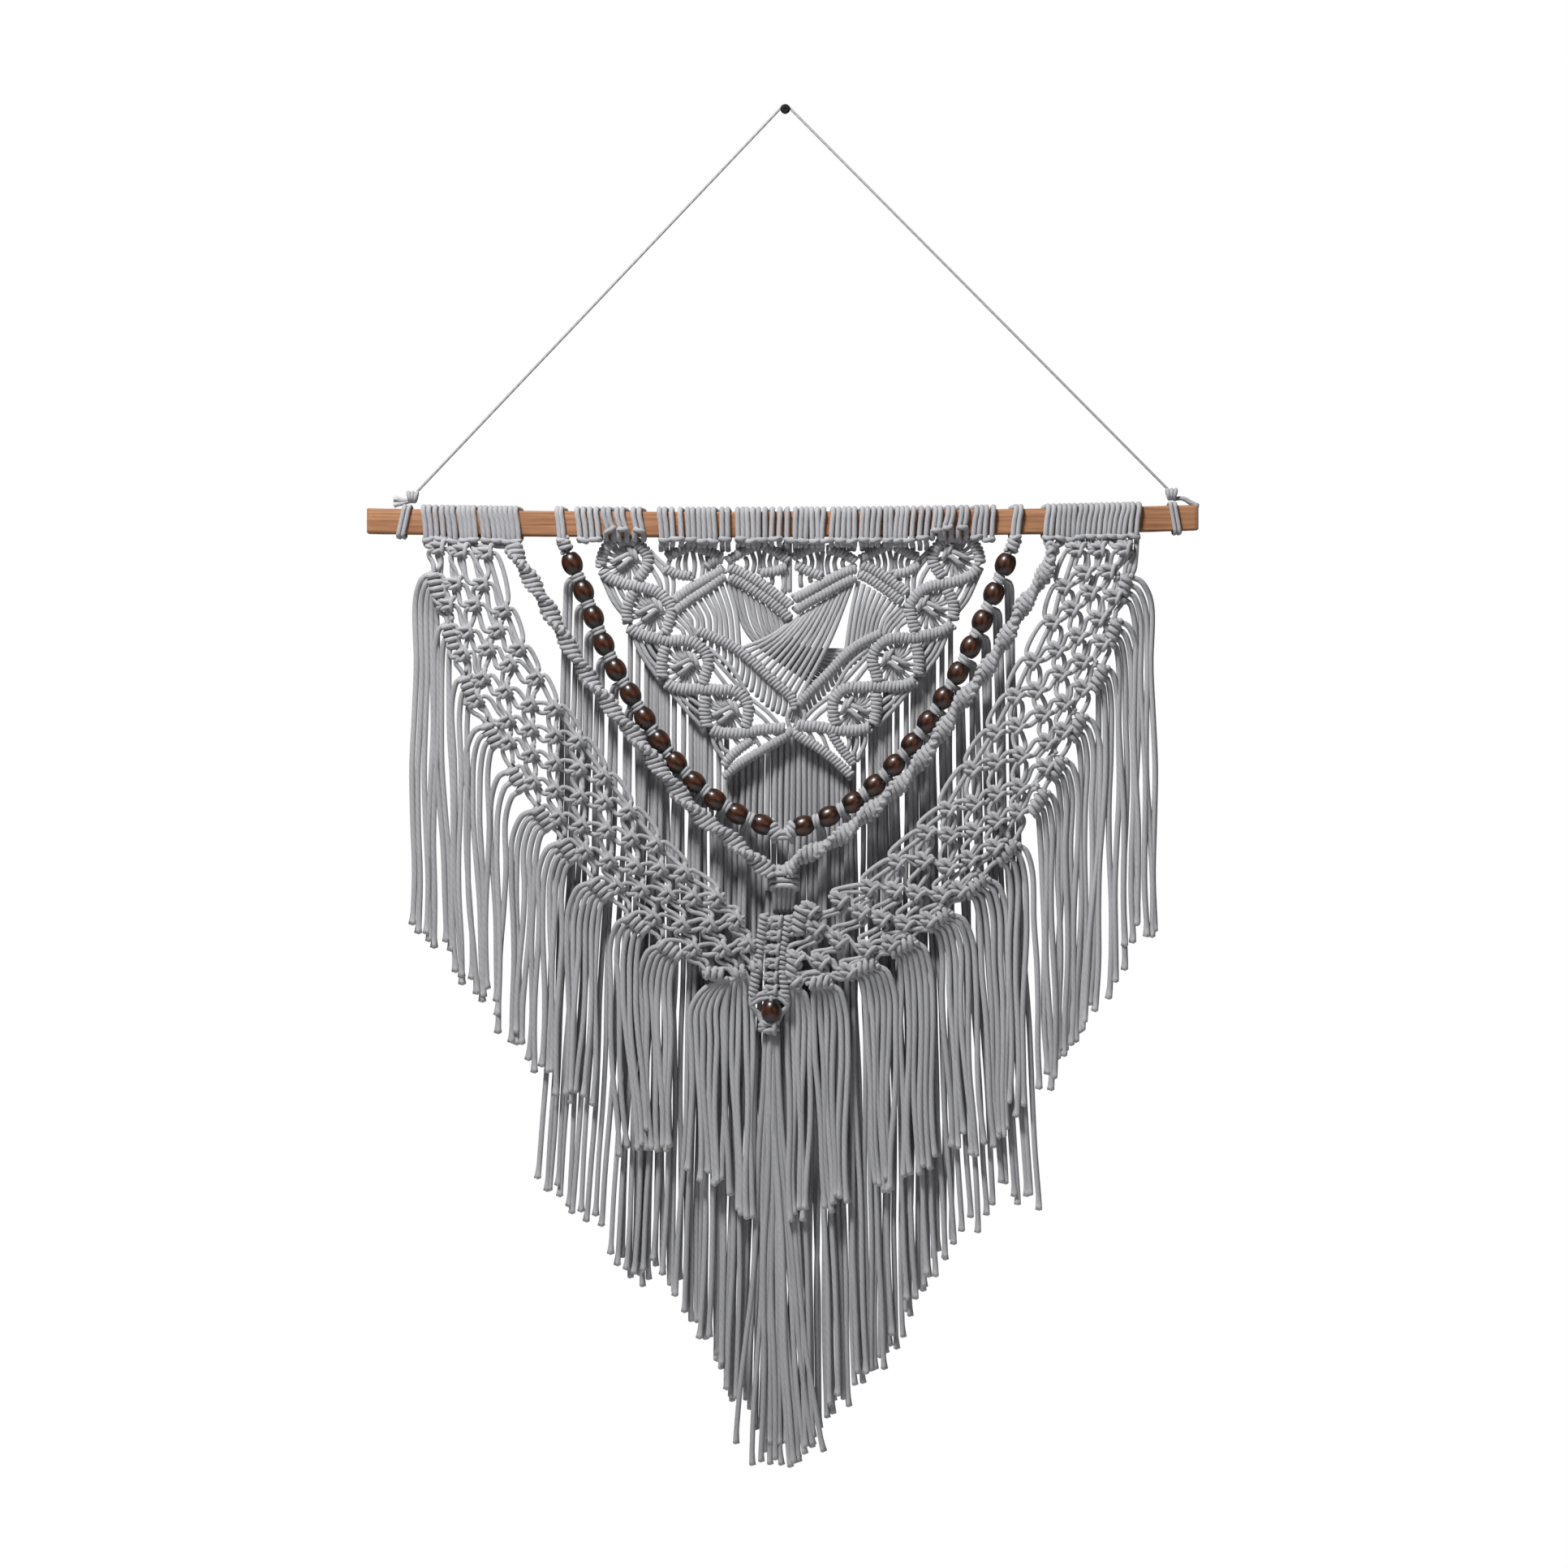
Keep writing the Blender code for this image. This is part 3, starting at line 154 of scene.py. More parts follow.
# %% Cords gathered in one mesh
class Cords:
    def __init__(self):
        self.points, self.uvs, self.quads, self.caps, self.tints, self.tips = [], [], [], [], [], []
        self.count = 0

    def add(self, path, radius=CORD_R, sides=6, tip=0.0, lobes=0.0):
        """One tube along path. radius and tip may vary from point to point. lobes spreads its plies apart."""
        path = np.asarray(path, float)
        n, first = len(path), self.count
        radius, tip = (np.broadcast_to(np.asarray(value, float), n) for value in (radius, tip))
        along = np.gradient(path, axis=0)
        along /= np.linalg.norm(along, axis=1)[:, None] + 1e-12
        side = np.cross(along[0], (0.31, 0.11, 0.94) if abs(along[0][2]) < 0.8 else (0.0, 1.0, 0.05))
        sideways = np.empty_like(path)
        for k in range(n):
            side = side - along[k] * side.dot(along[k])
            side = side / (np.sqrt(side.dot(side)) + 1e-12)
            sideways[k] = side
        up = np.cross(along, sideways)
        angle = np.arange(sides) * 2 * pi / sides
        swell = radius[:, None] * (1 + lobes * np.cos(3 * angle) * tip[:, None])
        around = np.cos(angle)[:, None] * sideways[:, None] + np.sin(angle)[:, None] * up[:, None]
        rings = path[:, None] + swell[..., None] * around
        domes = along[[0, -1]] * radius[[0, -1], None] * 0.45
        self.points += [rings.reshape(-1, 3), path[:1] - domes[:1], path[-1:] + domes[1:]]
        uv = np.empty((n, sides, 2))
        uv[..., 0] = np.arange(sides) / sides
        uv[..., 1] = reach_along(path)[:, None] * MM * 10
        self.uvs += [uv.reshape(-1, 2), [(0.5, 0.0)], [(0.5, uv[-1, 0, 1])]]
        here = np.arange(sides) + first
        after = (np.arange(sides) + 1) % sides + first
        ring = np.arange(n - 1)[:, None] * sides
        quads = np.stack((ring + here, ring + after, ring + sides + after, ring + sides + here), axis=-1)
        self.quads.append(quads.reshape(-1, 4))
        last, dome = (n - 1) * sides, first + n * sides
        self.caps.append(np.stack((after, here, np.full(sides, dome)), axis=-1))
        self.caps.append(np.stack((last + here, last + after, np.full(sides, dome + 1)), axis=-1))
        self.tints.append(np.full(n * sides + 2, rng.random()))
        self.tips.append(np.concatenate((np.repeat(tip, sides), tip[[0, -1]])))
        self.count += n * sides + 2

    def lay(self, pixels, depths, step, radius):
        """One cord through places of the photograph."""
        self.add(through(places(pixels, depths), step), radius)

    def mesh(self, name):
        points = np.vstack(self.points) * MM
        quads, caps = np.vstack(self.quads), np.vstack(self.caps)
        corners = np.concatenate((quads.ravel(), caps.ravel())).astype(np.int32)
        starts = np.concatenate((np.arange(len(quads)) * 4, len(quads) * 4 + np.arange(len(caps)) * 3))
        mesh = bpy.data.meshes.new(name)
        mesh.vertices.add(len(points))
        mesh.vertices.foreach_set("co", points.astype(np.float32).ravel())
        mesh.loops.add(len(corners))
        mesh.loops.foreach_set("vertex_index", corners)
        mesh.polygons.add(len(starts))
        mesh.polygons.foreach_set("loop_start", starts.astype(np.int32))
        mesh.update(calc_edges=True)
        uvs = np.vstack([np.asarray(uv, float) for uv in self.uvs])[corners]
        mesh.uv_layers.new(name="length").data.foreach_set("uv", uvs.astype(np.float32).ravel())
        for label, values in (("tint", self.tints), ("tip", self.tips)):
            attribute = mesh.attributes.new(label, "FLOAT", "POINT")
            attribute.data.foreach_set("value", np.concatenate(values).astype(np.float32))
        mesh.shade_smooth()
        return mesh


def show(name, mesh, slot, *nodes, location=(0, 0, 0), turn=0.0):
    """Puts a mesh on the root body, where it stands for its solids of the frame."""
    piece = bpy.data.objects.new(name, mesh)
    piece.location, piece.rotation_euler = location, (0, turn, 0)
    bpy.context.scene.collection.objects.link(piece)
    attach(piece, "root")
    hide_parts(*nodes)
    return piece


def show_cords(name, cords, node):
    mesh = cords.mesh(name)
    mesh.materials.append(cotton)
    print(name, len(cords.quads), "cords,", len(mesh.polygons), "faces")
    return show(name, mesh, "cotton", node)


def show_solid(name, points, faces, sharp, material, slot, *nodes):
    """A plain mesh in millimetres with its edges over sharp degrees kept sharp. Shown if it has nodes."""
    mesh = bpy.data.meshes.new(name)
    mesh.from_pydata([tuple(MM * v for v in p) for p in points], [], faces)
    mesh.update()
    mesh.shade_smooth()
    mesh.set_sharp_from_angle(angle=radians(sharp))
    mesh.materials.append(material)
    return show(name, mesh, slot, *nodes) if nodes else mesh


print("helpers:", [made.__name__ for made in (Cords, show, show_cords, show_solid)])

# %% [markdown]
# Shader groups. Twisted cotton and planed wood each come in more than one place, so their patterns are node
# groups with named inputs and outputs. A group only works out colours and heights. The shader stays in the
# material, where its own numbers are plain.

# %% Helpers for node groups
def new_group(name, inputs, outputs):
    """A group with its inputs' and outputs' sockets by name."""
    group = bpy.data.node_groups.new(name, "ShaderNodeTree")
    for label, kind, value in inputs:
        socket = group.interface.new_socket(label, in_out="INPUT", socket_type="NodeSocket" + kind)
        socket.default_value = value
    for label, kind in outputs:
        group.interface.new_socket(label, in_out="OUTPUT", socket_type="NodeSocket" + kind)
    return group, group.nodes.new("NodeGroupInput").outputs, group.nodes.new("NodeGroupOutput").inputs


def add_node(tree, kind, links=(), **settings):
    """A node with its settings, and its inputs set to a value or linked from a socket."""
    node = tree.nodes.new(kind)
    for key, value in settings.items():
        setattr(node, key, value)
    for label, value in dict(links).items():
        socket = node.inputs[label]
        if isinstance(value, bpy.types.NodeSocket):
            tree.links.new(value, socket)
        else:
            socket.default_value = value
    return node


def remap(tree, value, low, high):
    node = add_node(tree, "ShaderNodeMapRange", {"Value": value, "To Min": low, "To Max": high})
    return node.outputs["Result"]


def maths(tree, a, b, operation="MULTIPLY"):
    return add_node(tree, "ShaderNodeMath", {0: a, 1: b}, operation=operation).outputs[0]


def noise(tree, vector, scale, detail, distortion=0.0):
    inputs = {"Vector": vector, "Scale": scale, "Detail": detail, "Distortion": distortion}
    return add_node(tree, "ShaderNodeTexNoise", inputs).outputs["Fac"]


def blend(tree, factor, a, b):
    return add_node(tree, "ShaderNodeMix", {0: factor, 6: a, 7: b}, data_type="RGBA").outputs[2]


def plain_material(name, **values):
    """A material and its Principled shader with plain values."""
    material = bpy.data.materials.new(name)
    material.use_nodes = True
    shader = material.node_tree.nodes["Principled BSDF"]
    for label, value in values.items():
        shader.inputs[label.replace("_", " ")].default_value = value
    return material, shader


print("node helpers:", [made.__name__ for made in (new_group, add_node, remap, maths, noise, blend)])

# %% Cotton: spun fibre, three faint plies, pale cut tips
fibre, given, result = new_group(
    "cotton fibre",
    (("Colour", "Color", (0.46, 0.46, 0.48, 1)), ("Tip colour", "Color", (0.6, 0.6, 0.61, 1)),
     ("Ply depth", "Float", 0.35), ("Fuzz", "Float", 1.0)),
    (("Colour", "Color"), ("Height", "Float")),
)
along_cord = add_node(fibre, "ShaderNodeUVMap", uv_map="length").outputs[0]
around, lengthwise = add_node(fibre, "ShaderNodeSeparateXYZ", {0: along_cord}).outputs[:2]
ply_turns = maths(fibre, maths(fibre, around, 3.0), maths(fibre, lengthwise, 16.0), "ADD")
ply = maths(fibre, maths(fibre, ply_turns, 2 * pi), 0.0, "SINE")
on_piece = add_node(fibre, "ShaderNodeTexCoord").outputs["Object"]
strokes, fuzz = noise(fibre, along_cord, 60.0, 3.0), noise(fibre, on_piece, 1600.0, 3.0)
tint, cut = (add_node(fibre, "ShaderNodeAttribute", attribute_name=name).outputs["Fac"]
             for name in ("tint", "tip"))
shade = maths(fibre, remap(fibre, tint, 0.91, 1.06), remap(fibre, fuzz, 0.84, 1.16))
shade = maths(fibre, shade, remap(fibre, noise(fibre, on_piece, 60.0, 2.0), 0.93, 1.07))
shade = maths(fibre, shade, remap(fibre, ply, 0.97, 1.03))
yarn_colour = blend(fibre, cut, given["Colour"], given["Tip colour"])
shaded = add_node(fibre, "ShaderNodeVectorMath", {0: yarn_colour, "Scale": shade}, operation="SCALE")
height = maths(fibre, maths(fibre, fuzz, given["Fuzz"]), maths(fibre, strokes, 0.5), "ADD")
fibre.links.new(shaded.outputs[0], result["Colour"])
fibre.links.new(maths(fibre, height, maths(fibre, ply, given["Ply depth"]), "ADD"), result["Height"])


def new_material(name, group, values, bump, bump_distance, **plain):
    """Its Principled shader takes Base Color and Normal from a group, and the rest as plain values."""
    material, shader = plain_material(name, **plain)
    tree = material.node_tree
    node = add_node(tree, "ShaderNodeGroup", values, node_tree=group)
    tree.links.new(node.outputs["Colour"], shader.inputs["Base Color"])
    lift = {"Strength": bump, "Distance": bump_distance, "Height": node.outputs["Height"]}
    tree.links.new(add_node(tree, "ShaderNodeBump", lift).outputs[0], shader.inputs["Normal"])
    return material


cotton = new_material("grey cotton", fibre, {}, 0.5, 0.0004, Roughness=0.94, Sheen_Weight=0.25,
                      Sheen_Roughness=0.5, Specular_IOR_Level=0.15)
print("cotton fibre:", len(fibre.nodes), "nodes")

# %% Wood: long grain, pores, a slow change of colour and painted shade towards a bead's ends
grain, given, result = new_group(
    "wood grain",
    (("Light", "Color", (0.46, 0.27, 0.14, 1)), ("Dark", "Color", (0.25, 0.12, 0.06, 1)),
     ("Stretch", "Vector", (1, 1, 1)), ("Contrast", "Float", 1.0), ("Painted end shade", "Float", 0.0)),
    (("Colour", "Color"), ("Height", "Float")),
)
on_piece = add_node(grain, "ShaderNodeTexCoord").outputs["Object"]
stretched = add_node(grain, "ShaderNodeVectorMath", {0: on_piece, 1: given["Stretch"]},
                     operation="MULTIPLY").outputs[0]
lines = noise(grain, stretched, 1.0, 6.0, 0.6)
streak = add_node(grain, "ShaderNodeMapRange",
                  {"Value": lines, "From Min": 0.34, "From Max": 0.66}).outputs["Result"]
stain_and_end_shade = maths(grain, streak, remap(grain, noise(grain, on_piece, 25.0, 2.0), 0.55, 1.25))
stain_and_end_shade = maths(grain, stain_and_end_shade, given["Contrast"])
up_piece = add_node(grain, "ShaderNodeSeparateXYZ", {0: on_piece}).outputs["Z"]
# Painted shade: the colour darkens with the square of the height on the piece, so a bead is darker towards
# its ends.
painted_end_shade = maths(grain, maths(grain, up_piece, up_piece), given["Painted end shade"])
stain_and_end_shade = maths(grain, stain_and_end_shade, painted_end_shade, "ADD")  # painted shade: darker towards a bead's ends
grain.links.new(blend(grain, stain_and_end_shade, given["Light"], given["Dark"]), result["Colour"])
grain.links.new(maths(grain, noise(grain, stretched, 4.0, 3.0), streak, "ADD"), result["Height"])

ROD_STAIN = {"Stretch": (14.0, 420.0, 420.0), "Light": (0.50, 0.25, 0.12, 1), "Dark": (0.28, 0.11, 0.05, 1)}
# The bead's last value paints shade, darker towards both ends of each bead.
BEAD_STAIN_AND_END_SHADE = {"Stretch": (260.0, 260.0, 110.0), "Light": (0.095, 0.027, 0.009, 1),
              "Dark": (0.009, 0.004, 0.003, 1), "Painted end shade": 16000.0}
rod_wood = new_material("rod wood", grain, ROD_STAIN, 0.25, 0.0004, Roughness=0.62)
bead_wood = new_material("dark bead wood", grain, BEAD_STAIN_AND_END_SHADE, 0.15, 0.0003, Roughness=0.38, Coat_Weight=0.55,
                         Coat_Roughness=0.16)
print("materials:", [m.name for m in bpy.data.materials])

# %% [markdown]
# The hanging cord. A thin cotton cord runs from the left tie up over the screw and down to the right tie,
# held taut by the weight below. It is one smooth curve through a few points on each straight run and an arc
# over the screw. The rule for a held cord is that its length is fixed.

# %% Hanging cord
THIN = 1.9  # diameter
BEND = 3.8  # radius of its middle line over the screw's shank
SHANK_TOP, SHANK_MID, PLAY = 1.5, -14.8, 0.3
TIE_KNOTS = {-1: (-273.4, -285.4), 1: (283.4, -283.4)}  # x, z
TIE_EXIT = {-1: 3.1, 1: -2.6}  # how far beside its knot the cord leaves


def cord_foot(side):
    return np.array((TIE_KNOTS[side][0] + TIE_EXIT[side], ROD_MID, TIE_KNOTS[side][1] + 4.6))


def hanging_route():
    y = SHANK_MID + PLAY + THIN / 2
    arc_z = SHANK_TOP + PLAY + THIN / 2 - BEND
    over = np.array([(BEND * sin(a), y, arc_z + BEND * cos(a)) for a in np.radians(range(-46, 47, 23))])
    shares = (0, 0.12, 0.35, 0.6, 0.8, 0.92, 0.98)
    up, down = ([cord_foot(side) + (over[end] - cord_foot(side)) * t for t in shares]
                for side, end in ((-1, 0), (1, -1)))
    return through([*up, *over, *reversed(down)], 1.2)


route = hanging_route()
hanging = Cords()
hanging.add(route, THIN / 2, 10)
hanging_cord = show_cords("thin_hanging_cord", hanging, "hanging_cord")

# %% [markdown]
# The rod is a planed lath, so its edges are eased, its faces are a hair uneven, and it is bowed by its
# load. Its section is a rounded rectangle that is swept along the bow. A plain box with a bevel would look
# machined.

# %% Rod
ROD_X = (-306.8, 303.1)
ROD_EASE = 1.7


def rod_outline(inset=0.0):
    """Points round the eased section as (y, z)."""
    y, z = (half - inset - ROD_EASE for half in (ROD_HALF_DEPTH, ROD_HALF_HEIGHT))
    corners = enumerate(((1, 1), (-1, 1), (-1, -1), (1, -1)))
    turns = ((sy, sz, radians(90 * corner + 22.5 * k)) for corner, (sy, sz) in corners for k in range(5))
    return np.array([(sy * y + ROD_EASE * cos(a), sz * z + ROD_EASE * sin(a)) for sy, sz, a in turns])


def make_rod():
    a, b = ROD_X
    stations = (a, a + 0.5, *np.linspace(a + 4, b - 4, 150), b - 0.5, b)
    points, faces = [], []
    n = len(rod_outline())
    phase = np.arange(n)
    for k, x in enumerate(stations):
        uneven = 0.12 * np.sin(x * 0.043 + phase * 0.9) + 0.05 * np.sin(x * 0.31 + phase)
        size = 1 - (0.12 + uneven) / ROD_HALF_HEIGHT
        outline = rod_outline(0.5 if x in ROD_X else 0.0) * size[:, None]
        points += [(x, ROD_MID + y, rod_z(x) + z) for y, z in outline]
        if k:
            before, here = (k - 1) * n, k * n
            faces += [(before + i, before + (i + 1) % n, here + (i + 1) % n, here + i) for i in range(n)]
    faces += [tuple(range(n - 1, -1, -1)), tuple(range(len(points) - n, len(points)))]
    return show_solid("planed_rod", points, faces, 50, rod_wood, "rod_wood", "rod")


rod = make_rod()
print("rod:", len(rod.data.polygons), "faces")

# %% [markdown]
# The screw's solid already has the head and its cross recess, so it stays and only gets a finish: black
# paint that is a little worn, made with a noise in its roughness.

# %% Screw
black, black_shader = plain_material("black screw paint", Base_Color=(0.02, 0.02, 0.022, 1), Metallic=0.4)
speck = add_node(black.node_tree, "ShaderNodeTexNoise", {"Scale": 900.0, "Detail": 2.0})
worn = remap(black.node_tree, speck.outputs["Fac"], 0.3, 0.6)
black.node_tree.links.new(worn, black_shader.inputs["Roughness"])
screw = frame["nodes"]["wall_screw"]
screw.data.materials.clear()
screw.data.materials.append(black)
print("screw:", screw.data.materials[0].name)

# %% [markdown]
# A lark's head is the loop that fastens a folded cord to a rod. Both halves of the cord go up the rod's
# front, over it, down the back and forward under it, and the fold crosses in front of them as a short level
# bar just under the rod. The whole head with the two cords that hang from it is one path.

# %% Lark's heads
HEAD_R = 1.95
GROUPS = ("net_left", "net_right", "spiral_left", "spiral_right", "bead_left", "bead_right", "panel_left",
          "panel_middle", "panel_right")
HEADS = dict(zip(GROUPS, table("""
    523.7 530.3  537.6 545.6  553.2 559.8  568 573.5  579.1 585  594.5 600.4,
    1316.8 1323.1  1329.6 1335.7  1342.5 1349  1355.6 1362.4  1368.4 1374.5  1381.3 1387.1  1393.9 1401.6,
    607.4 613.6  619.5 625.4  631.5 637.6,
    1289.7 1296.4  1304.2 1310.3,
    688.4 693.1,
    1249.7 1255.7,
    713.2 720.7  728.5 736.3  746.2 752.8  762.2 769  782.3 789.8,
    814.2 820.6  828.4 839  848 854.3  861.4 867.8  874.4 880.3  889.7 896.8  909.3 915.6  921.1 928.2
    934.6 942.8  951.1 960.5  970 980.1  987.2 993.5  1000.6 1007.7  1013.6 1025.4  1032.5 1039.6
    1046.2 1053  1062 1068.3  1075.4 1082.5  1091.5 1097.4  1104.5 1110.3  1116.2 1124.5  1133.9 1142.2
    1151.5 1157.5,
    1166 1172.1  1183.5 1189.8  1201.2 1207.7  1214.5 1223
""")))  # x of each strand on the rod's front, two for each lark's head


def head_pairs(group):
    """The lark's heads of a group as pairs of x in millimetres."""
    return (HEADS[group] - SCREW_AT[0]) * PIXEL


def larks_head(cords, left_x, right_x, left_tail=(), right_tail=(), bar_drop=4.2):
    """A lark's head whose front strands stand at the two x. The tails are the points that the cords run on
    through. Without tails the cords end behind the fold."""
    c = (left_x + right_x) / 2
    z = rod_z(c)
    top, bottom = z + ROD_HALF_HEIGHT, z - ROD_HALF_HEIGHT
    front, back = ROD_FRONT - HEAD_R, ROD_BACK + HEAD_R
    fold = bottom - bar_drop + rng.uniform(-1.2, 1.2)
    slant = 1.3 * float(np.clip(-c / 150, -1, 1)) + rng.normal(0, 0.3)
    tilt = rng.normal(0, 0.6)
    foot = (front + 1.4, min(fold - 3.2, bottom - 5.5)) if len(left_tail) else (front + 1.2, fold - 1.2)

    def half(side):
        x = left_x if side < 0 else right_x
        low, high = x + slant * 0.8, x - slant
        out = c + side * (abs(x - c) + 0.9) + slant * 0.8
        return [
            (low, *foot), (low, front + 0.9, fold - 0.2), (low, front, max(fold + 2.6, bottom)),
            (x, front, z + 0.5), (high, front, top - 2.5), (high, front + 1.4, top + 1.1),
            (high, ROD_FRONT + 4, top + HEAD_R), (high, ROD_MID + 3, top + HEAD_R),
            (out, back - 1.4, top + 1.1), (out, back, top - 2.5), (out, back, z), (out, back, bottom + 2),
            (out, back - 2, bottom - 1.4), (out, ROD_MID, bottom - HEAD_R),
            (out, front + 2.4, min(bottom - HEAD_R, fold + 1.0)),
            (out - side * 0.1, front - 0.9, fold + 0.3 + side * tilt),
        ]

    bar = [(c + side * 1.5 + slant * 0.8, front - 2.9, fold + side * tilt * 0.5) for side in (-1, 1)]
    path = [*reversed(list(left_tail)), *half(-1), *bar, *reversed(half(1)), *right_tail]
    cords.add(through(path, 2.0), HEAD_R, 8)


print("lark's heads:", sum(map(len, HEADS.values())))

# %% [markdown]
# The net is made of square knots. Two working cords, L and R, cross in front of and behind two filler
# cords, and then do it again the other way round. Each cord of a knot is one row of points in the table.
# Two cords leave a knot for the next one below it and two for the next column of the net.

# %% Square knot
KNOT_PATHS = dict(zip(("R", "L", "F1", "F2"), table("""
    5.6 -0.6 4.6  4.2 -1.4 2.7  1.6 -2.9 1.9  -1.5 -3.3 2.3  -4.3 -2.5 3.1  -5.8 -0.5 2.2  -5.7 0.5 0
    -4.9 -0.6 -2.5  -3.6 -2.4 -3.4  -1.4 -3.2 -2.8  1.4 -2.8 -1.9  4.2 -1.3 -1.5  6.2 -0.6 -2,
    -7.4 -1.2 1.4  -5.6 -2.6 0.7  -3.6 -1.7 0.2  -1.6 1 0.7  0.8 2.2 1.6  3.4 1.8 2.9  4.9 -0.6 4.3
    4 -3.3 3.9  3.2 -4.3 1.6  2.9 -4.4 -1.2  2.6 -3.6 -3.9  2.9 -0.8 -5  2 1.7 -3.9  -0.6 2.2 -2.5
    -2.6 0.8 -1.3  -4 -1.8 -1  -5.8 -2.4 -1.4  -7.2 -1 -2.6,
    -1.2 -0.3 5  -1.2 -0.3 0  -1.4 -0.3 -5,
    1.1 -0.3 5  1.1 -0.3 0  0.9 -0.3 -5
""", 3)))  # to the right, away from the viewer and up, in millimetres
WAY_OUT = {"L": (-0.7, -0.7), "F1": (-0.3, -0.95), "F2": (0.3, -0.95), "R": (0.8, -0.6)}
WAY_IN = {"L": (0.9, -0.4), "F1": (0.2, -0.98), "F2": (-0.2, -0.98), "R": (-0.7, -0.7)}


class Knot:
    """A square knot at x, z, turned by lean. Its four cords are keyed as in KNOT_PATHS."""

    def __init__(self, x, z, lean=0.0, y=NET_Y, size=1.0):
        self.place = np.array((x, y, z), float)
        self.across = np.array((cos(lean), 0, sin(lean)))
        self.up = np.array((-sin(lean), 0, cos(lean)))
        self.cords = {key: self.spots(row * size) for key, row in KNOT_PATHS.items()}

    def spots(self, row):
        row = row + rng.normal(0, 0.14, row.shape)
        return self.place + row[:, :1] * self.across + row[:, 1:2] * (0, 1, 0) + row[:, 2:] * self.up

    def heading(self, way):
        return unit(way[0] * self.across + way[1] * self.up)

    def tie(self, cords, radius):
        for key, step in (("L", 1.7), ("R", 1.7), ("F1", 3.0), ("F2", 3.0)):
            cords.add(through(self.cords[key], step), radius)


def link(cords, source, out_key, target, in_key, radius, slack=0.95):
    """One cord from a knot to another. It leaves and enters the way that the cords lie there."""
    start, end = source.cords[out_key][-1], target.cords[in_key][0]
    pull = slack * np.linalg.norm(end - start)
    t = np.linspace(0, 1, 7)[1:-1, None]
    leave, enter = source.heading(WAY_OUT[out_key]), target.heading(WAY_IN[in_key])
    middle = ((2 * t**3 - 3 * t**2 + 1) * start + (t**3 - 2 * t**2 + t) * pull * leave
              + (3 * t**2 - 2 * t**3) * end + (t**3 - t**2) * pull * enter)
    middle[:, 1] += rng.normal(0.4, 0.5) * np.sin(pi * t[:, 0])
    path = [source.cords[out_key][-2], start, *middle, end, target.cords[in_key][1]]
    cords.add(through(path, 2.2), radius)


print("square knot:", {key: len(row) for key, row in KNOT_PATHS.items()}, "points")

# %% [markdown]
# A ridged bar is a row of hitches: one cord lies along the row, and every other cord winds round it side by
# side. From outside it is a coil, so one helper winds a tube round any path. The twisted V is wound too.
# Its knots all start from the same side, so the flat band turns as it grows: coils on an oval that turns
# slowly make its rungs, and a row of small lumps makes each of its edges.

# %% Coils
BAR_TUBE, BAR_PITCH = 1.6, 2.8  # radius of a ridged bar's cord, and how far apart its turns lie


def frame_along(path):
    along = np.gradient(path, axis=0)
    along /= np.linalg.norm(along, axis=1)[:, None]
    side = np.cross(along, (0.0, 1.0, 0.0))
    side /= np.linalg.norm(side, axis=1)[:, None]
    return along, side, np.cross(side, along)


def waves(amount, direction):
    """An amount for each point of a path, each times its own direction."""
    return np.asarray(amount)[:, None] * direction


def wind(cords, points, across, depth, tube, pitch, phase=0.0, slant=0.0, steps=10, sides=6):
    """Winds a cord of radius tube round a path. across and depth are the oval's half sizes to its middle."""
    path = through(points, pitch / steps)
    reach = reach_along(path)
    along, side, deep = frame_along(path)
    turn = 2 * pi * reach / pitch + phase
    wobble = 1 + 0.05 * np.sin(reach * 0.9 + rng.random() * 6)
    offset = waves(across * wobble * np.cos(turn), side) + waves(depth * np.sin(turn), deep)
    cords.add(path + (offset + waves(slant * np.cos(turn), along)), tube, sides)


def twist(cords, points, across, depth, tube, pitch, turn_length, phase):
    """Two cords wound on an oval that itself turns once in turn_length, and a lumpy cord on each edge."""
    path = through(points, pitch / 14)
    reach = reach_along(path)
    side, deep = frame_along(path)[1:]
    roll = 2 * pi * reach / turn_length + phase
    a = waves(np.cos(roll), side) + waves(np.sin(roll), deep)
    b = waves(-np.sin(roll), side) + waves(np.cos(roll), deep)
    for half in (0, pi):
        turn = 2 * pi * reach / pitch + half
        rung = 0.72 * across * np.clip(1.3 * np.cos(turn), -1, 1)
        cords.add(path + (waves(rung, a) + waves(depth * np.sin(turn), b)), tube, 8)
    for edge in (-1, 1):
        lump = 4 * pi * reach / pitch * edge + 0.8
        rail = path + waves(edge * 0.84 * across + 1.25 * np.cos(lump), a) + waves(1.7 * np.sin(lump), b)
        cords.add(rail, tube - 0.25, 8)


print("a ridged bar has a turn every", round(BAR_PITCH / PIXEL, 1), "pixels")

# %% [markdown]
# The net hangs in columns of knots, numbered from the rod along the V. The last knot of a column ends in a
# hitch at the outer edge, wound round the cords that drop out there as fringe. Along the inner edge the
# cords run on to the next column as long floats.

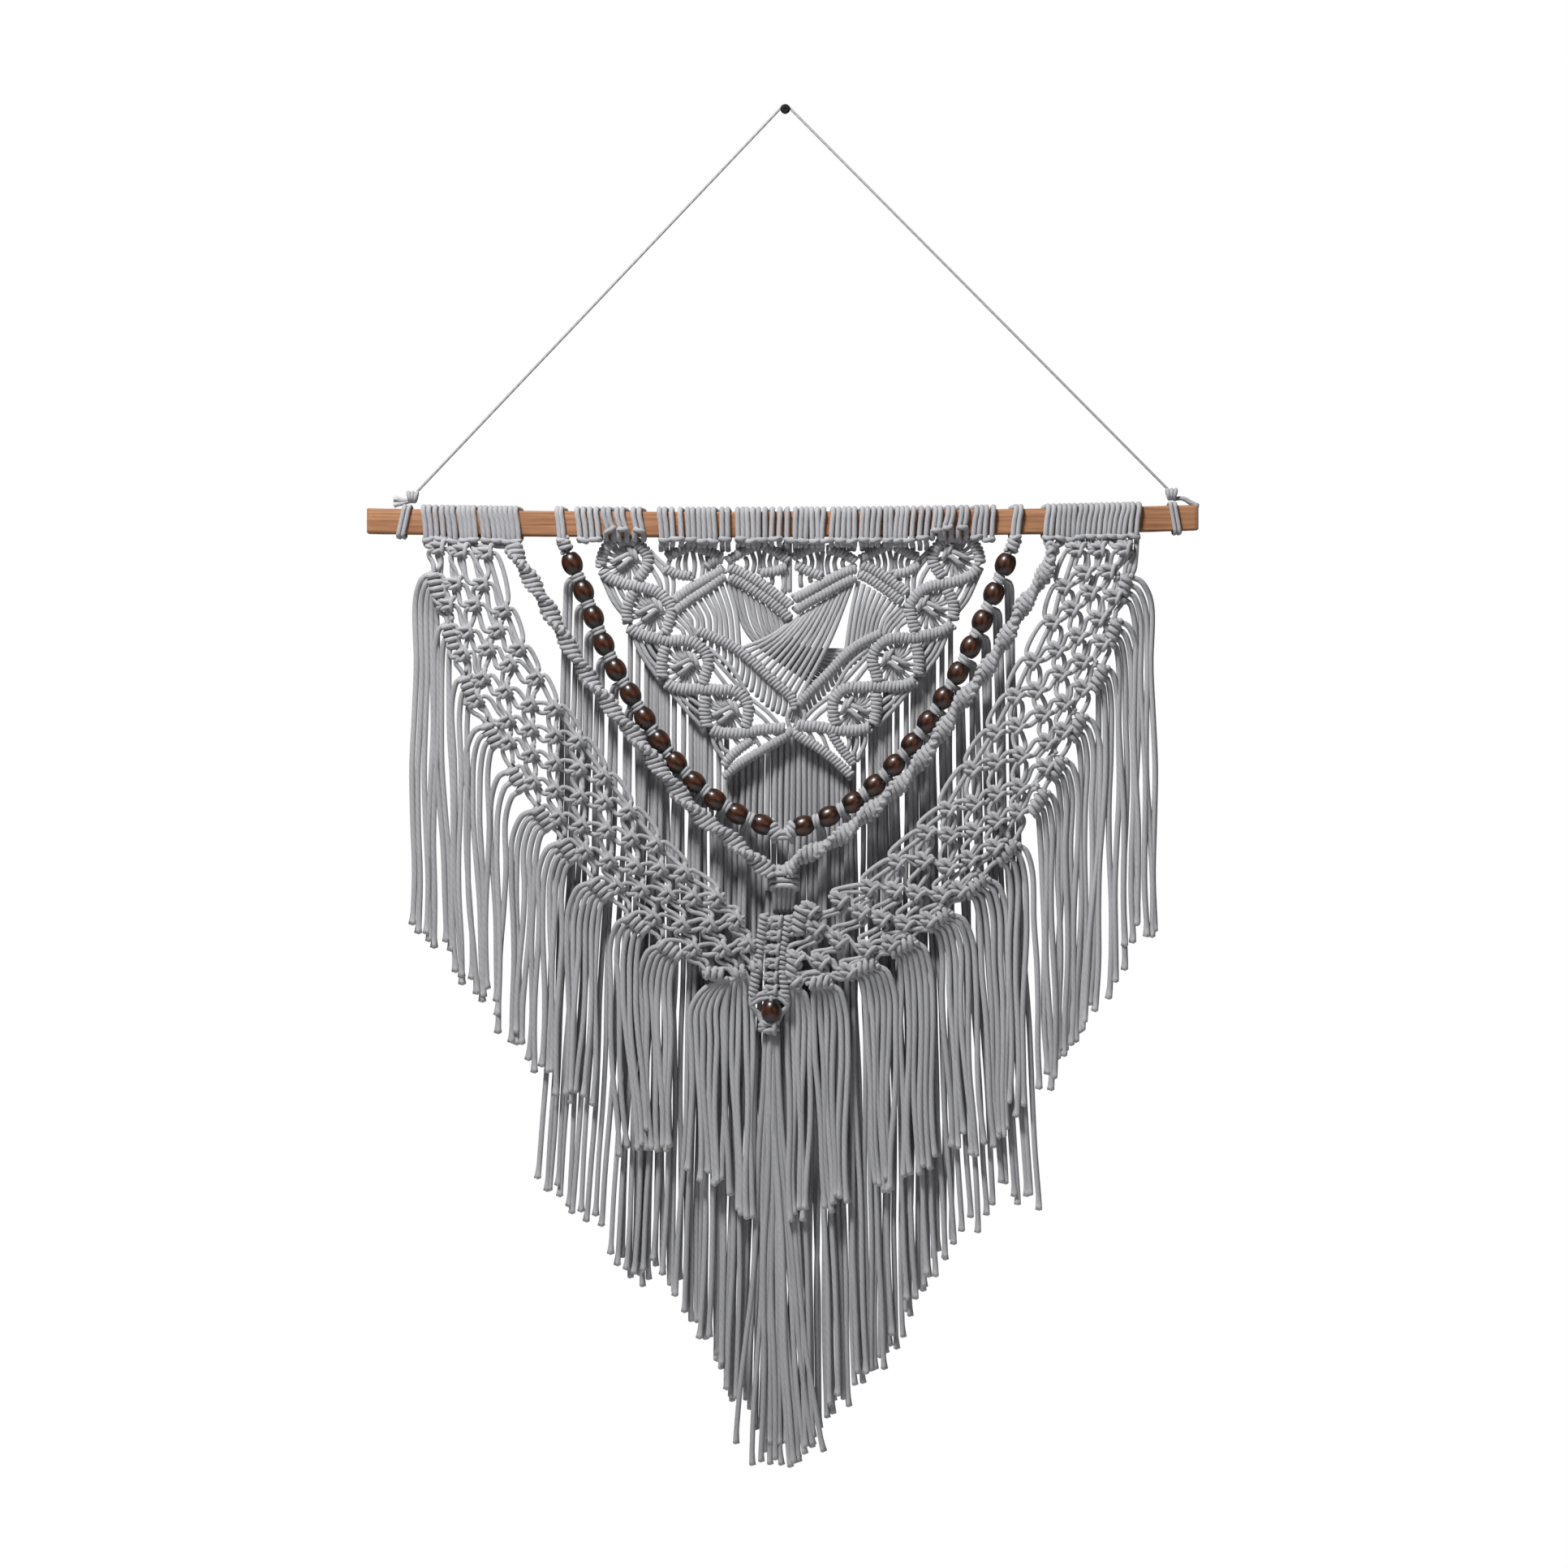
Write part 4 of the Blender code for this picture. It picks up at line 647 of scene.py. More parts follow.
# %% The net
# Each column's knots from the inner edge outward, and last its hitch
NET = {side: dict(enumerate(table(text), -3)) for side, text in (
    (-1, """
    541 675  534 707,
    569 679  562 719  552 745  551 770,
    600 681  595 719  585 745  576 778  571 806  572 835,
    621 752  614 776  602 799  595 835  587 862  600 893,
    640 799  628 818  623 851  626 887  627 914  630 948,
    661 835  654 868  654 898  655 929  657 963  662 996,
    683 873  684 906  684 940  684 973  688 1006  692 1036,
    712 913  714 946  715 981  717 1017  721 1049  730 1084,
    744 957  745 988  748 1023  751 1060  760 1092  774 1128,
    775 999  778 1033  783 1067  790 1096  805 1131  814 1161,
    808 1040  813 1070  823 1102  840 1139  854 1168  869 1198,
    842 1075  854 1106  874 1139  890 1169  905 1200,
    883 1106  907 1133  921 1163  926 1192
    """), (1, """
    1384 677  1387 710,
    1353 677  1365 704  1372 735  1374 765,
    1326 677  1336 706  1343 730  1353 762  1358 792  1359 822,
    1311 723  1321 750  1328 784  1333 815  1334 848  1332 882,
    1297 767  1302 801  1307 830  1311 866  1310 900  1307 935,
    1273 815  1277 851  1285 880  1290 914  1288 945  1286 975,
    1251 858  1253 895  1258 931  1256 970  1254 1000  1250 1038,
    1226 903  1227 939  1227 978  1227 1011  1225 1043  1213 1080,
    1198 948  1200 990  1200 1023  1195 1058  1182 1096  1168 1122,
    1168 997  1170 1029  1168 1068  1160 1102  1144 1133  1125 1157,
    1141 1026  1138 1060  1129 1100  1115 1137  1097 1162  1078 1185,
    1105 1062  1102 1096  1086 1131  1068 1168  1045 1196  1022 1208,
    1071 1093  1060 1123  1033 1158  1011 1184  985 1212,
    1034 1108  1005 1143  980 1180  973 1205,
    998 1120  982 1150
    """))}
# For each band, which cord of a knot goes in as which cord of the knot below it, of the next column's
# knot, or, where it floats, of the next column's first knot
LINKS = {
    -1: {"down": (("L", "F2"), ("F1", "R")), "across": (("F2", "L"), ("R", "F1")),
         "float": (("F2", "F2"), ("R", "R"))},
    1: {"down": (("R", "F1"), ("F2", "L")), "across": (("L", "F2"), ("F1", "R")),
        "float": (("L", "L"), ("F1", "F1"))},
}
FULL_LEAN = {-1: 0.65, 1: -0.58}  # the knots' turn in the middle of each band, in radians
NET_CORD_R = 1.75


def build_net(side):
    """The knots of each column from top to bottom. The last place of a column is its hitch."""
    columns = {}
    for number, row in NET[side].items():
        columns[number] = []
        for k, (x, z) in enumerate(places(row)):
            share = float(np.clip((number + 2.2 + 0.4 * k) / 4, 0.12, 1))
            lean = FULL_LEAN[side] * share + rng.normal(0, 0.06)
            columns[number].append(Knot(x, z, lean, NET_Y + rng.normal(0.4, 0.35)))
    return columns


def link_net(cords, side, columns):
    """Each knot has two cords for the knot below it and two for the next column."""
    for number, column in columns.items():
        following = columns.get(number + 1)
        shift = 1 if number < -1 else -1
        for j, knot in enumerate(column):
            if j + 1 < len(column):
                for pair in LINKS[side]["down"]:
                    link(cords, knot, pair[0], column[j + 1], pair[1], NET_CORD_R)
            # Where the bands meet at the point, its ridged bars hide how the last cords run.
            if not following or number == 10 or (side < 0 and number == 8 and j > 3):
                continue
            at = j + shift
            kind = "across" if at >= 0 else "float"
            if at < len(following):
                for pair in LINKS[side][kind]:
                    slack = 0.95 if kind == "across" else (0.2, 0.4)[pair[0] in "LR"]
                    link(cords, knot, pair[0], following[max(at, 0)], pair[1], NET_CORD_R, slack)


def stack_line(hitches, k):
    """The middle line of the winding under a hitch, which leans towards the next hitch of the outer edge."""
    run = (hitches[k + 1] - hitches[k]) if k + 1 < len(hitches) else (hitches[k] - hitches[k - 1])
    reach = np.linspace(-1.5, min(18.5, 0.62 * np.linalg.norm(run)), 4)
    return hitches[k] + reach[:, None] * unit(run)


def feed_from_heads(cords, side, columns):
    """The first knots hang from two lark's heads each. On the right one more head feeds a hitch."""
    pairs = head_pairs("net_" + SIDES[side])
    for n, number in enumerate((-3, -2, -1) if side < 0 else (-1, -2, -3)):
        knot = columns[number][0]
        for keys, (a, b) in zip((("L", "F1"), ("F2", "R")), pairs[2 * n:2 * n + 2]):
            larks_head(cords, a, b, knot.cords[keys[0]][:1], knot.cords[keys[1]][:1])
    if side > 0:
        hitch = columns[-3][-1].place
        inner = [hitch + (2.5, 0, 6), hitch + (0, 2, 0)]
        outer = [hitch + (6, 0, 6), hitch + (2.5, 2, -1)]
        larks_head(cords, *pairs[-1], inner, outer)


def make_net(side):
    cords = Cords()
    columns = build_net(side)
    for column in columns.values():
        for knot in column[:-1]:
            knot.tie(cords, NET_CORD_R)
    link_net(cords, side, columns)
    hitches = [column[-1].place for column in columns.values()]
    for k in range(len(hitches)):
        line = stack_line(hitches, k)
        wind(cords, line, 3.7, 3.0, 2.0, 4.9, phase=-0.6 * side, slant=0.5 * side, steps=12, sides=8)
        cords.add(through(line, 4.0), 2.4)
    feed_from_heads(cords, side, columns)
    return cords, hitches


print("places in the net:", {SIDES[side]: sum(map(len, columns.values())) for side, columns in NET.items()})

# %% The net's point, where both bands end between two ridged bars
def make_point():
    cords = Cords()
    for bar in table("941.8 1126  934.6 1180  927.5 1228, 972 1128  963.2 1180  967.7 1228"):
        line = places(bar, NET_Y)
        cords.add(through(line, 4), 1.9)
        wind(cords, line, 2.5, 2.4, 1.55, 3.55)
    for x, z in places(table("957 1135  955.5 1152  954 1169  953 1186  951.5 1203  951 1219")[0]):
        Knot(x, z, 0.0, NET_Y, 0.8).tie(cords, 1.6)
    # Level cords gather the point, above the bead.
    for y in (1224, 1230):
        cords.lay(((925, y + 8), (935, y + 1), (950, y - 1), (962, y), (971, y + 9)), NET_Y - 1, 3, CORD_R)
    return cords


hitches = {}
for side, label in SIDES.items():
    net, hitches[side] = make_net(side)
    show_cords("cotton_net_" + label, net, "net")
show_cords("cotton_net_point", make_point(), "net")

# %% [markdown]
# Fringe. A strand hangs from its knot, drifts to where its cut end lies and waves a little, for cotton
# keeps some of the bends it had on the reel. At the cut the plies come loose, so a strand ends wider, lobed
# and paler.

# %% Strands of fringe
FLARE_LENGTH = 11.0


def strand(cords, start, end, radius, wave, lead=()):
    """One strand from start to end, which first runs through the points of lead."""
    start, end = np.asarray(start, float), np.asarray(end, float)
    drop = end - start
    length = np.linalg.norm(drop)
    t = np.linspace(0, 1, max(5, int(length / 60) + 4))
    drift = drop[0] * (0.35 * t + 0.65 * t**1.8)
    path = start + np.column_stack((drift, drop[1] * np.minimum(1, 3 * t), drop[2] * t))
    phase = rng.random(2) * 2 * pi
    sway = wave * np.sin(pi * t) ** 0.5
    path[:, 0] += sway * np.sin(2 * pi * t * length / 190 + phase[0])
    path[:, 1] += 0.25 * sway * np.sin(2 * pi * t * length / 150 + phase[1])
    line = through(path, 9.0)
    line = np.vstack((line[:-3], through(line[-3:], 2.5)))
    if len(lead):
        lead = through(np.vstack((lead, path[:2])), 3.0)[:-1]
        line = np.vstack((lead, line[line[:, 2] < path[1, 2] - 1.5]))
    left = np.linalg.norm(line[-1] - line, axis=1)
    tip = np.clip(1 - left / FLARE_LENGTH, 0, 1) ** 1.5
    cords.add(line, radius * (1 + 0.3 * tip), 6, tip, lobes=0.28)


# Each group's x range where it falls, its hitch's y, and its cut ends
NET_FRINGE = {side: table(text, 1) for side, text in (
    (-1, """
    509 539 712   507 1139  525 1149  534 1147, 534 553 772   550 1163  557 1173  561 1185,
    555 575 838   567 1194  581 1203  571 1218, 571 600 896   588 1228  600 1227,
    602 620 952   612 1248  615 1265, 627 658 998   638 1276  632 1282  653 1296,
    660 690 1038   660 1309  676 1319  684 1343, 696 735 1086   696 1350  706 1355  730 1350,
    749 783 1130   765 1405  785 1420  797 1385, 785 824 1163   797 1408  812 1426  824 1420,
    844 887 1200   847 1448  872 1459  880 1449  889 1457, 893 928 1215   897 1470  915 1492  926 1500
    """), (1, """
    1401 1423 710   1402 1151  1412 1148  1420 1139  1425 1144,
    1380 1404 765   1387 1167  1388 1201  1395 1175  1401 1159,
    1354 1379 822   1346 1239  1352 1249  1367 1232  1375 1211, 1333 1358 882   1327 1276  1338 1266,
    1308 1331 935   1309 1304  1312 1298  1320 1291, 1283 1306 975   1291 1325  1300 1333  1303 1316,
    1247 1275 1038   1243 1358  1255 1365  1280 1340, 1209 1243 1080   1225 1410  1240 1385,
    1163 1203 1122   1172 1420  1213 1413, 1112 1150 1157   1112 1452  1135 1440  1150 1432,
    1068 1106 1185   1080 1474  1098 1467, 1003 1046 1208   1017 1490  1030 1477  1042 1480,
    968 1000 1225   975 1500  992 1496
    """))}
STRAND_SPACING = 8.4  # pixels between the strands of a group
FRINGE_R = 2.15


def make_net_fringe(side):
    """Each strand comes out of a turn of its hitch's stack, arcs outward and falls to its cut end."""
    cords = Cords()
    for group in NET_FRINGE[side]:
        x0, x1, top, *ends = group.ravel()
        ends = places(sorted(zip(ends[::2], ends[1::2])))
        nearest = np.argmin([abs(place[2] - (SCREW_AT[1] - top) * PIXEL) for place in hitches[side]])
        line = stack_line(hitches[side], int(nearest))
        run = unit(line[-1] - line[0])
        away = np.array((-side * run[2], 0.0, -abs(run[0])))
        count = max(3, int(round((x1 - x0) / STRAND_SPACING)) + 1)
        for share in np.arange(count) / (count - 1):
            inner = share if side < 0 else 1 - share  # 0 at the strand that lies furthest out
            out = line[0] + (line[-1] - line[0]) * (0.06 + 0.86 * inner) + away * 3.0
            x = 0.88 * (x0 + (x1 - x0) * share - SCREW_AT[0]) * PIXEL + 0.12 * out[0]
            depth = NET_FRINGE_Y + rng.uniform(-1.3, 1.0)
            knee = np.array((0.42 * out[0] + 0.58 * x, NET_Y + 2.5, out[2] - 5.0))
            end = [np.interp(share, np.linspace(0, 1, len(ends)), ends[:, k]) for k in (0, 1)]
            end = (end[0] + rng.normal(0, 0.8), depth, end[1] + rng.normal(0, 4.5))
            lead = (out - away * 2.0, out + (0, 1.0, -0.5), knee)
            strand(cords, (x, depth, out[2] - 23.0), end, FRINGE_R, 1.7, lead)
    return cords


for side, label in SIDES.items():
    show_cords("cotton_edge_fringe_" + label, make_net_fringe(side), "net_fringe_" + label)

# %% [markdown]
# The twisted V hangs in front of the net's inner edge. Its two arms meet at a joining knot of three level
# bars.

# %% Twisted V
SPIRAL = dict(zip((-1, 1), table("""
    631 672  638.8 687  645.9 700  658.9 721  673 745  684.8 766  701.4 794.7  722.6 830  746 861  767 889
    781 904.5  805 935  831.6 970  862 1004.5  895 1029  927.6 1057.6  952 1076,
    1297 672  1294 684  1289.7 701  1277 723  1263 742  1251 764  1236 791  1222 813  1205 839  1183 866
    1156 908  1125 949  1099 976  1076 996  1056 1013  1037.6 1029  1013 1044  986.5 1057  968 1076
""")))


def make_twisted(side):
    cords = Cords()
    line = places(SPIRAL[side], SPIRAL_Y)
    line[0, 1], line[-1, 1] = ROD_FRONT - 4.0, JOIN_Y - 2
    twist(cords, line, across=5.1, depth=2.5, tube=2.0, pitch=9.4, turn_length=54.0, phase=0.4 * side)
    for a, b in head_pairs("spiral_" + SIDES[side]):
        larks_head(cords, a, b, [line[0] + (-2, 2, -1)], [line[0] + (2, 2, -1)])
    return cords


def make_join():
    cords = Cords()
    bow = JOIN_Y + np.array((2, -1, -3, -3, -1, 2))
    for y, width in ((1078, 15.5), (1086, 16.5), (1093, 15.0)):
        left, right = 966 - width, 966 + width
        line = ((left, y + 3), (left, y - 1), (960, y - 2), (972, y - 2), (right, y), (right, y + 3))
        cords.lay(line, bow, 2.2, 2.1)
    for x in np.linspace(953, 979, 5):
        down = ((x, 1066), (x, 1085), (0.9 * x + 96.6, 1100), (0.8 * x + 193.2, 1124))
        cords.lay(down, JOIN_Y + np.array((0, 0, 1.5, 7)), 4, 1.9)
    return cords


for side, label in SIDES.items():
    show_cords("cotton_twist_" + label, make_twisted(side), "spiral")
show_cords("cotton_join", make_join(), "spiral")

# %% [markdown]
# Beads. Each is a turned barrel with a bore, stained nearly black and varnished. All of them share one
# mesh, and each object is only turned to follow the V. The cord between two beads is two turns of wrapping.

# %% Beads
BEAD_LENGTH, BEAD_R, BEAD_END_R, BORE_R = 15.4, 7.6, 5.0, 1.75
BEADS = dict(zip((-1, 1), table("""
    -156.1 -334.3  -147.8 -354.7  -140.5 -373.6  -132.9 -393.4  -124 -412.2  -113.4 -430  -102.9 -447.7
    -91.9 -464.3  -80 -480.2  -66.3 -494.7  -51.5 -507.3  -35 -517.8  -16.6 -525.6,
    161.4 -334.9  152.9 -356.4  144.5 -376.5  135.9 -395.6  126.6 -414.6  116 -432.9  104.6 -450.4
    92.8 -466.6  79.8 -482.2  65.5 -496.9  49.5 -509.5  31.9 -519.6  13.2 -526.6
""")))  # x, z of each bead's middle in millimetres, from the rod down
TAIL_BEAD = (-10.2, -662.2)


def bead_mesh():
    """A barrel turned about Z, with its bore open at both ends."""
    half, sides = BEAD_LENGTH / 2, 28
    rim = [(BORE_R, half - 0.5), (BORE_R + 0.5, half - 0.08), (BEAD_END_R - 0.8, half)]
    belly = [(BEAD_END_R + (BEAD_R - BEAD_END_R) * (1 - abs(t) ** 2.3), (half - 0.5) * t)
             for t in np.linspace(1, -1, 17)]
    profile = [*rim, *belly, *((r, -z) for r, z in reversed(rim))]
    points = [(r * cos(a), r * sin(a), z) for r, z in profile for a in np.arange(sides) * 2 * pi / sides]
    faces = []
    for k in range(len(profile)):
        m = (k + 1) % len(profile)
        faces += [tuple(row * sides + i % sides for row, i in ((k, i), (m, i), (m, i + 1), (k, i + 1)))
                  for i in range(sides)]
    return show_solid("turned_bead", points, faces, 60, bead_wood, "bead_wood")


barrel = bead_mesh()
for side, label in SIDES.items():
    spots = BEADS[side]
    for k, ((x, z), (dx, dz)) in enumerate(zip(spots, np.gradient(spots, axis=0)), 1):
        show(f"turned_bead_{label}_{k:02d}", barrel, "bead_wood", f"bead_{label}_{k:02d}",
             location=(x * MM, BEAD_Y * MM, z * MM), turn=float(np.arctan2(dx, dz)))
show("turned_bead_tail", barrel, "bead_wood", "bead_tail",
     location=(TAIL_BEAD[0] * MM, TAIL_BEAD_Y * MM, TAIL_BEAD[1] * MM))
print("beads:", 1 + sum(map(len, BEADS.values())))

# %% Cord and wraps of the beaded V
def make_bead_cord():
    cords = Cords()
    for side, label in SIDES.items():
        spots = BEADS[side]
        line = np.column_stack((spots[:, 0], np.full(len(spots), BEAD_Y), spots[:, 1]))
        top, foot = line[0] + (line[0] - line[1]) * 0.95, line[-1] + (line[-1] - line[-2]) * 0.42
        cords.add(through(np.vstack((top, line, foot)), 4.0), 1.55)
        for a, b in zip(line, line[1:]):
            middle, run = (a + b) / 2, unit(b - a)
            wind(cords, [middle - run * 2.6, middle, middle + run * 2.6], 3.75, 3.6, 1.6, 2.95,
                 phase=pi * rng.random(), slant=0.7 * side, steps=14, sides=8)
        run = unit(line[0] - line[1])
        wrap_top, wrap_foot = (line[0] + run * (BEAD_LENGTH / 2 + gap) for gap in (11.5, 2.0))
        wind(cords, [wrap_top, (wrap_top + wrap_foot) / 2, wrap_foot], 3.6, 3.4, 1.9, 3.7, steps=14)
        for a, b in head_pairs("bead_" + label):
            larks_head(cords, a, b, [wrap_foot + (-1.5, 0, 3)], [wrap_foot + (1.5, 0, 3)])
    # The two arms meet in slanted wraps and one level knot.
    for x, lean in ((953, 6), (975, -6)):
        line = places(((x - lean, 1018 - 4), (x, 1024), (x + lean, 1030)), BEAD_Y - 1)
        wind(cords, line, 3.9, 3.4, 1.9, 3.7, steps=14)
    for y in (1028, 1034):
        cords.lay(((954, y + 4), (954, y - 1), (965, y - 2), (976, y - 1), (976, y + 4)),
                  BEAD_Y + np.array((1, -2, -4, -2, 1)), 2.4, 2.0)
    return cords


show_cords("cotton_bead_wraps", make_bead_cord(), "bead_cord")

# %% [markdown]
# The panel is knotted from thirty-two lark's heads. Small leaves of short bars come first, then a double
# zigzag, then four sheaves of free cords, the middle two crossed, the V bar that gathers them, and a chain
# of four diamonds on each side. The cords between the bars bulge towards one side and lie in two layers
# where the sheaves cross.

# %% Panel tables
ZIGZAG = table("""
    830.6 740  849.1 725.9  868.3 714.8  892 700.5, 831 753  849.1 739.3  868.3 726.9  892 709.7, 897.9 698
    914.2 705.3  937.1 718.3  960.1 735.5  974 745.5, 898.8 710.5  914.2 718.3  937.1 732.6  960.1 749.8
    973.5 763, 978.3 737.4  992.6 731  1013.7 718.6  1034.7 707.7  1054.8 699.5, 980.2 752.7  992.6 744.1
    1013.7 732.6  1034.7 720.9  1053 711.5, 1061 695.5  1073 700  1094 712.5  1117 730, 1058.6 706.5
    1073 713.5  1094 727.8  1111.1 741
""")
LEAVES = table("""
    822 685.6  836 679.5  849.7 673.1, 856.4 674.1  874 680  890.9 686.5, 818.2 699.9  835.4 707.6
    852.6 709.5, 870 699  875 692.3  889 688.5, 896.6 690.4  910 682.7  931 671.2, 938.7 671.2  957.8 680.8
    971.2 690.4, 936.8 705.7  955.9 703.7  969.3 698, 977.2 686.5  994.4 677  1011.7 673.1, 1019.3 677
    1036.5 680.8  1053.7 690.4, 981 696.1  996.3 703.7  1011.7 709.5, 1061.4 688.4  1078.6 678.9
    1095.8 671.2, 1103.5 673.1  1118.8 680.8  1132.2 686.5, 1101.6 707.6  1118.8 703.7  1132.2 696.1
""")
V_BAR = table("""
    858.4 776.4  881.3 786  906.2 798.4  931 818.5  957.8 843.4  975 858.7  980.7 872, 983 869  992.6 857.5
    1007 843  1021.3 829  1040.4 808.5  1059.6 793  1086 779.5
""")
FEET = table("""
    977.3 899  963.9 909.5  948.6 919  933.3 927.7  916.1 938.3  902.7 947.8  893.1 957.4, 926.7 911.4
    910.3 923.5  897 936  892.5 943, 977.3 901  992.6 912  1007.9 921  1023.2 932  1036.6 944  1050 957,
    1022 899  1030.8 913.5  1040.4 927  1051.9 940.3
""")
FOOT_CORDS = table("""
    878 902  881 920  893 936, 886 906  890 922  900 928, 903 906  908 914  915 920, 925 904  932 912
    938 922, 938 903  945 908  952 914, 950 901  957 905  963 908, 995 900  1000 907  1004 916, 1008 901
    1014 908  1020 924, 1043 901  1047 914  1043 926, 1054 898  1056 916  1050 934, 1064 894  1066 914
    1056 938, 978 868  970 882  974 899, 985 868  992 882  984 899
""")  # free cords between the last diamonds and the feet
CHAIN = table("""
    757.9 661.7  747.4 673.1  741.3 686.5  740.1 698, 760.8 665.5  778 665.5  791.4 675  798.1 686.5
    797.1 698  789.5 709.5  785.7 714.3, 741.7 701.8  749.3 711.4  762.7 717.1  776.1 721  789.5 722.9
    804.8 726.7  816.3 734.4  823.9 743.9  827.7 751.6  824.9 763  822 774.5  818.2 782.2, 781.8 728.6
    774.2 742  772.3 755.4  773.2 766.9, 774.2 772.6  785.7 780.3  799 784.1  812.4 787  823.9 789.8
    839.2 788.9  852.6 790.8  864.1 797.5  871.7 809  872.7 820.4  868.9 831.9  866 843.4, 820.1 795.6
    816.3 809  815.3 822.4  816.3 835.8, 820.1 841.5  831.6 847.2  845 849.1  860.3 849.1  873.7 849.1
    889 850.1  902.4 850.1  913.8 856.8  921.5 868.3  921.5 883.6  917.7 897, 868.9 856.8  867.9 870.2
    868.9 883.6  871.7 895, 875.6 898.9  889 902.7  904.3 903.7  919.6 902.7  938.7 898.9  954 897.9
    965.5 897
""")  # the bars of the left chain's four diamonds
DIAMOND_MIDDLES = table("770.5 687.5  801.5 751  845.2 818  895 877")[0]
CHAIN_SIDE_CORDS = table("""
    802.9 686.5  820 709.5  822 734.3, 799 694  812 716  815 732, 806 684  828 708  829 737, 744.5 717
    755 740  766.5 755.4, 751 719  761 740  768.4 751.6, 760.8 721  766.5 732.4  772 740, 837.3 755.4
    852.6 772.6  860.3 788, 831.6 768.8  841.1 776.4  843 788, 834 761  850 778  854 790, 779.9 780.3
    789.5 805  806.7 830, 785.7 783  797 807  808.6 822.4, 794.3 785  802.9 803  810.5 812.8, 804.8 787
    808.6 795.6  812.4 801, 877.5 809  892.8 826  910 845.3, 875 818  886 832  898 848, 880 804  902 824
    918 850, 825.8 851  843 872  860.3 891, 833 852  850 870  863 880, 842 853  855 864  864 870,
    927.2 862.5  946.4 877.8  961.7 895, 925 872  940 884  950 896
""")  # a free cord beside the left chain: its start, its middle, its end
SHEAVES = table("""
    9    839 748  896 716    851 762  907 755    852 775  911 802    -14 -15 -14
    10   902.4 717  967 762  926 784  985 796    1003 843  1048 802  -14 -12.2 -11.6
    12   1050 718  978 764   1022 788  947 785   985 860  913 799    -14 -18 -15.5
    9    1058 716  1110 747  1049 757  1094 764  1040 822  1088 783  -14 -15 -14
""", 16)[0]  # how many, line of starts, line of middles, line of ends, the three depths
LEAF_CORDS = table("""
    838 684 706 -3  846 680 707 -2  853 678 712 3  862 681 717 4  871 684 711 2  826 688 702 -3
    880 690 704 0  918 686 701 3  926 680 705 4  934 676 706 3  943 677 704 -3  951 681 702 -3
    958 686 702 -2  964 705 728 2  950 708 720 2  967 668 731 0  973 668 729 0  990 684 697 2  998 681 702 3
    1006 678 706 3  1014 679 710 -2  1022 682 707 -3  1031 684 703 -3  1040 688 699 -2  988 703 723 -2
    1000 708 717 -2  1072 686 700 3  1080 683 702 3  1088 680 706 3  1096 678 710 3  1105 681 705 -2
    1113 683 702 -3  1121 687 700 -3  1097 712 716 0  1120 710 726 -2  1110 712 720 -2
""", 4)[0]  # x, top, foot, bulge of each free cord inside the leaves


def mirrored(pixels):
    """The right chain is the left one's mirror, hung 3.3 pixels higher."""
    return np.array((1948, -3.3)) + np.asarray(pixels) * (-1, 1)


print("panel:", len(ZIGZAG) + len(LEAVES) + len(V_BAR) + len(FEET) + 2 * len(CHAIN), "bars")

# %% Panel: heads, bars and leaves
SHEAF_R = 1.7


def bar(cords, pixels, y, across, depth, tube=BAR_TUBE, pitch=BAR_PITCH):
    line = places(pixels, y)
    cords.add(through(line, 3.5), 1.5)
    wind(cords, line, across, depth, tube, pitch)


def make_panel_heads():
    cords = Cords()
    for group in ("panel_left", "panel_middle", "panel_right"):
        for a, b in head_pairs(group):
            over_diamond = 105 < abs(a + 0.9) < 137  # there the first diamond hangs right under the rod
            if over_diamond or group != "panel_middle":
                larks_head(cords, a, b, bar_drop=-4.0 if over_diamond else 3.2)
                continue
            foot = rod_z(a) - ROD_HALF_HEIGHT - 6
            tails = [[(x, -17.0, foot), (x + rng.normal(0, 0.5), PANEL_Y + 0.6, foot - 4)] for x in (a, b)]
            larks_head(cords, a, b, *tails, 3.2)
    return cords


def make_panel_bars():
    cords = Cords()
    bars = ((ZIGZAG, 1.5, 2.75, 2.1), (LEAVES, 2.2, 2.45, 1.9), (V_BAR, 1.0, 2.6, 2.2), (FEET, 1.5, 2.4, 2))
    for lines, ahead, across, depth in bars:
        for line in lines:
            bar(cords, line, PANEL_Y - ahead, across, depth)
    for line in FOOT_CORDS:
        cords.lay(line, (PANEL_Y, PANEL_Y - 1.0, PANEL_Y), 3.0, SHEAF_R)
    return cords


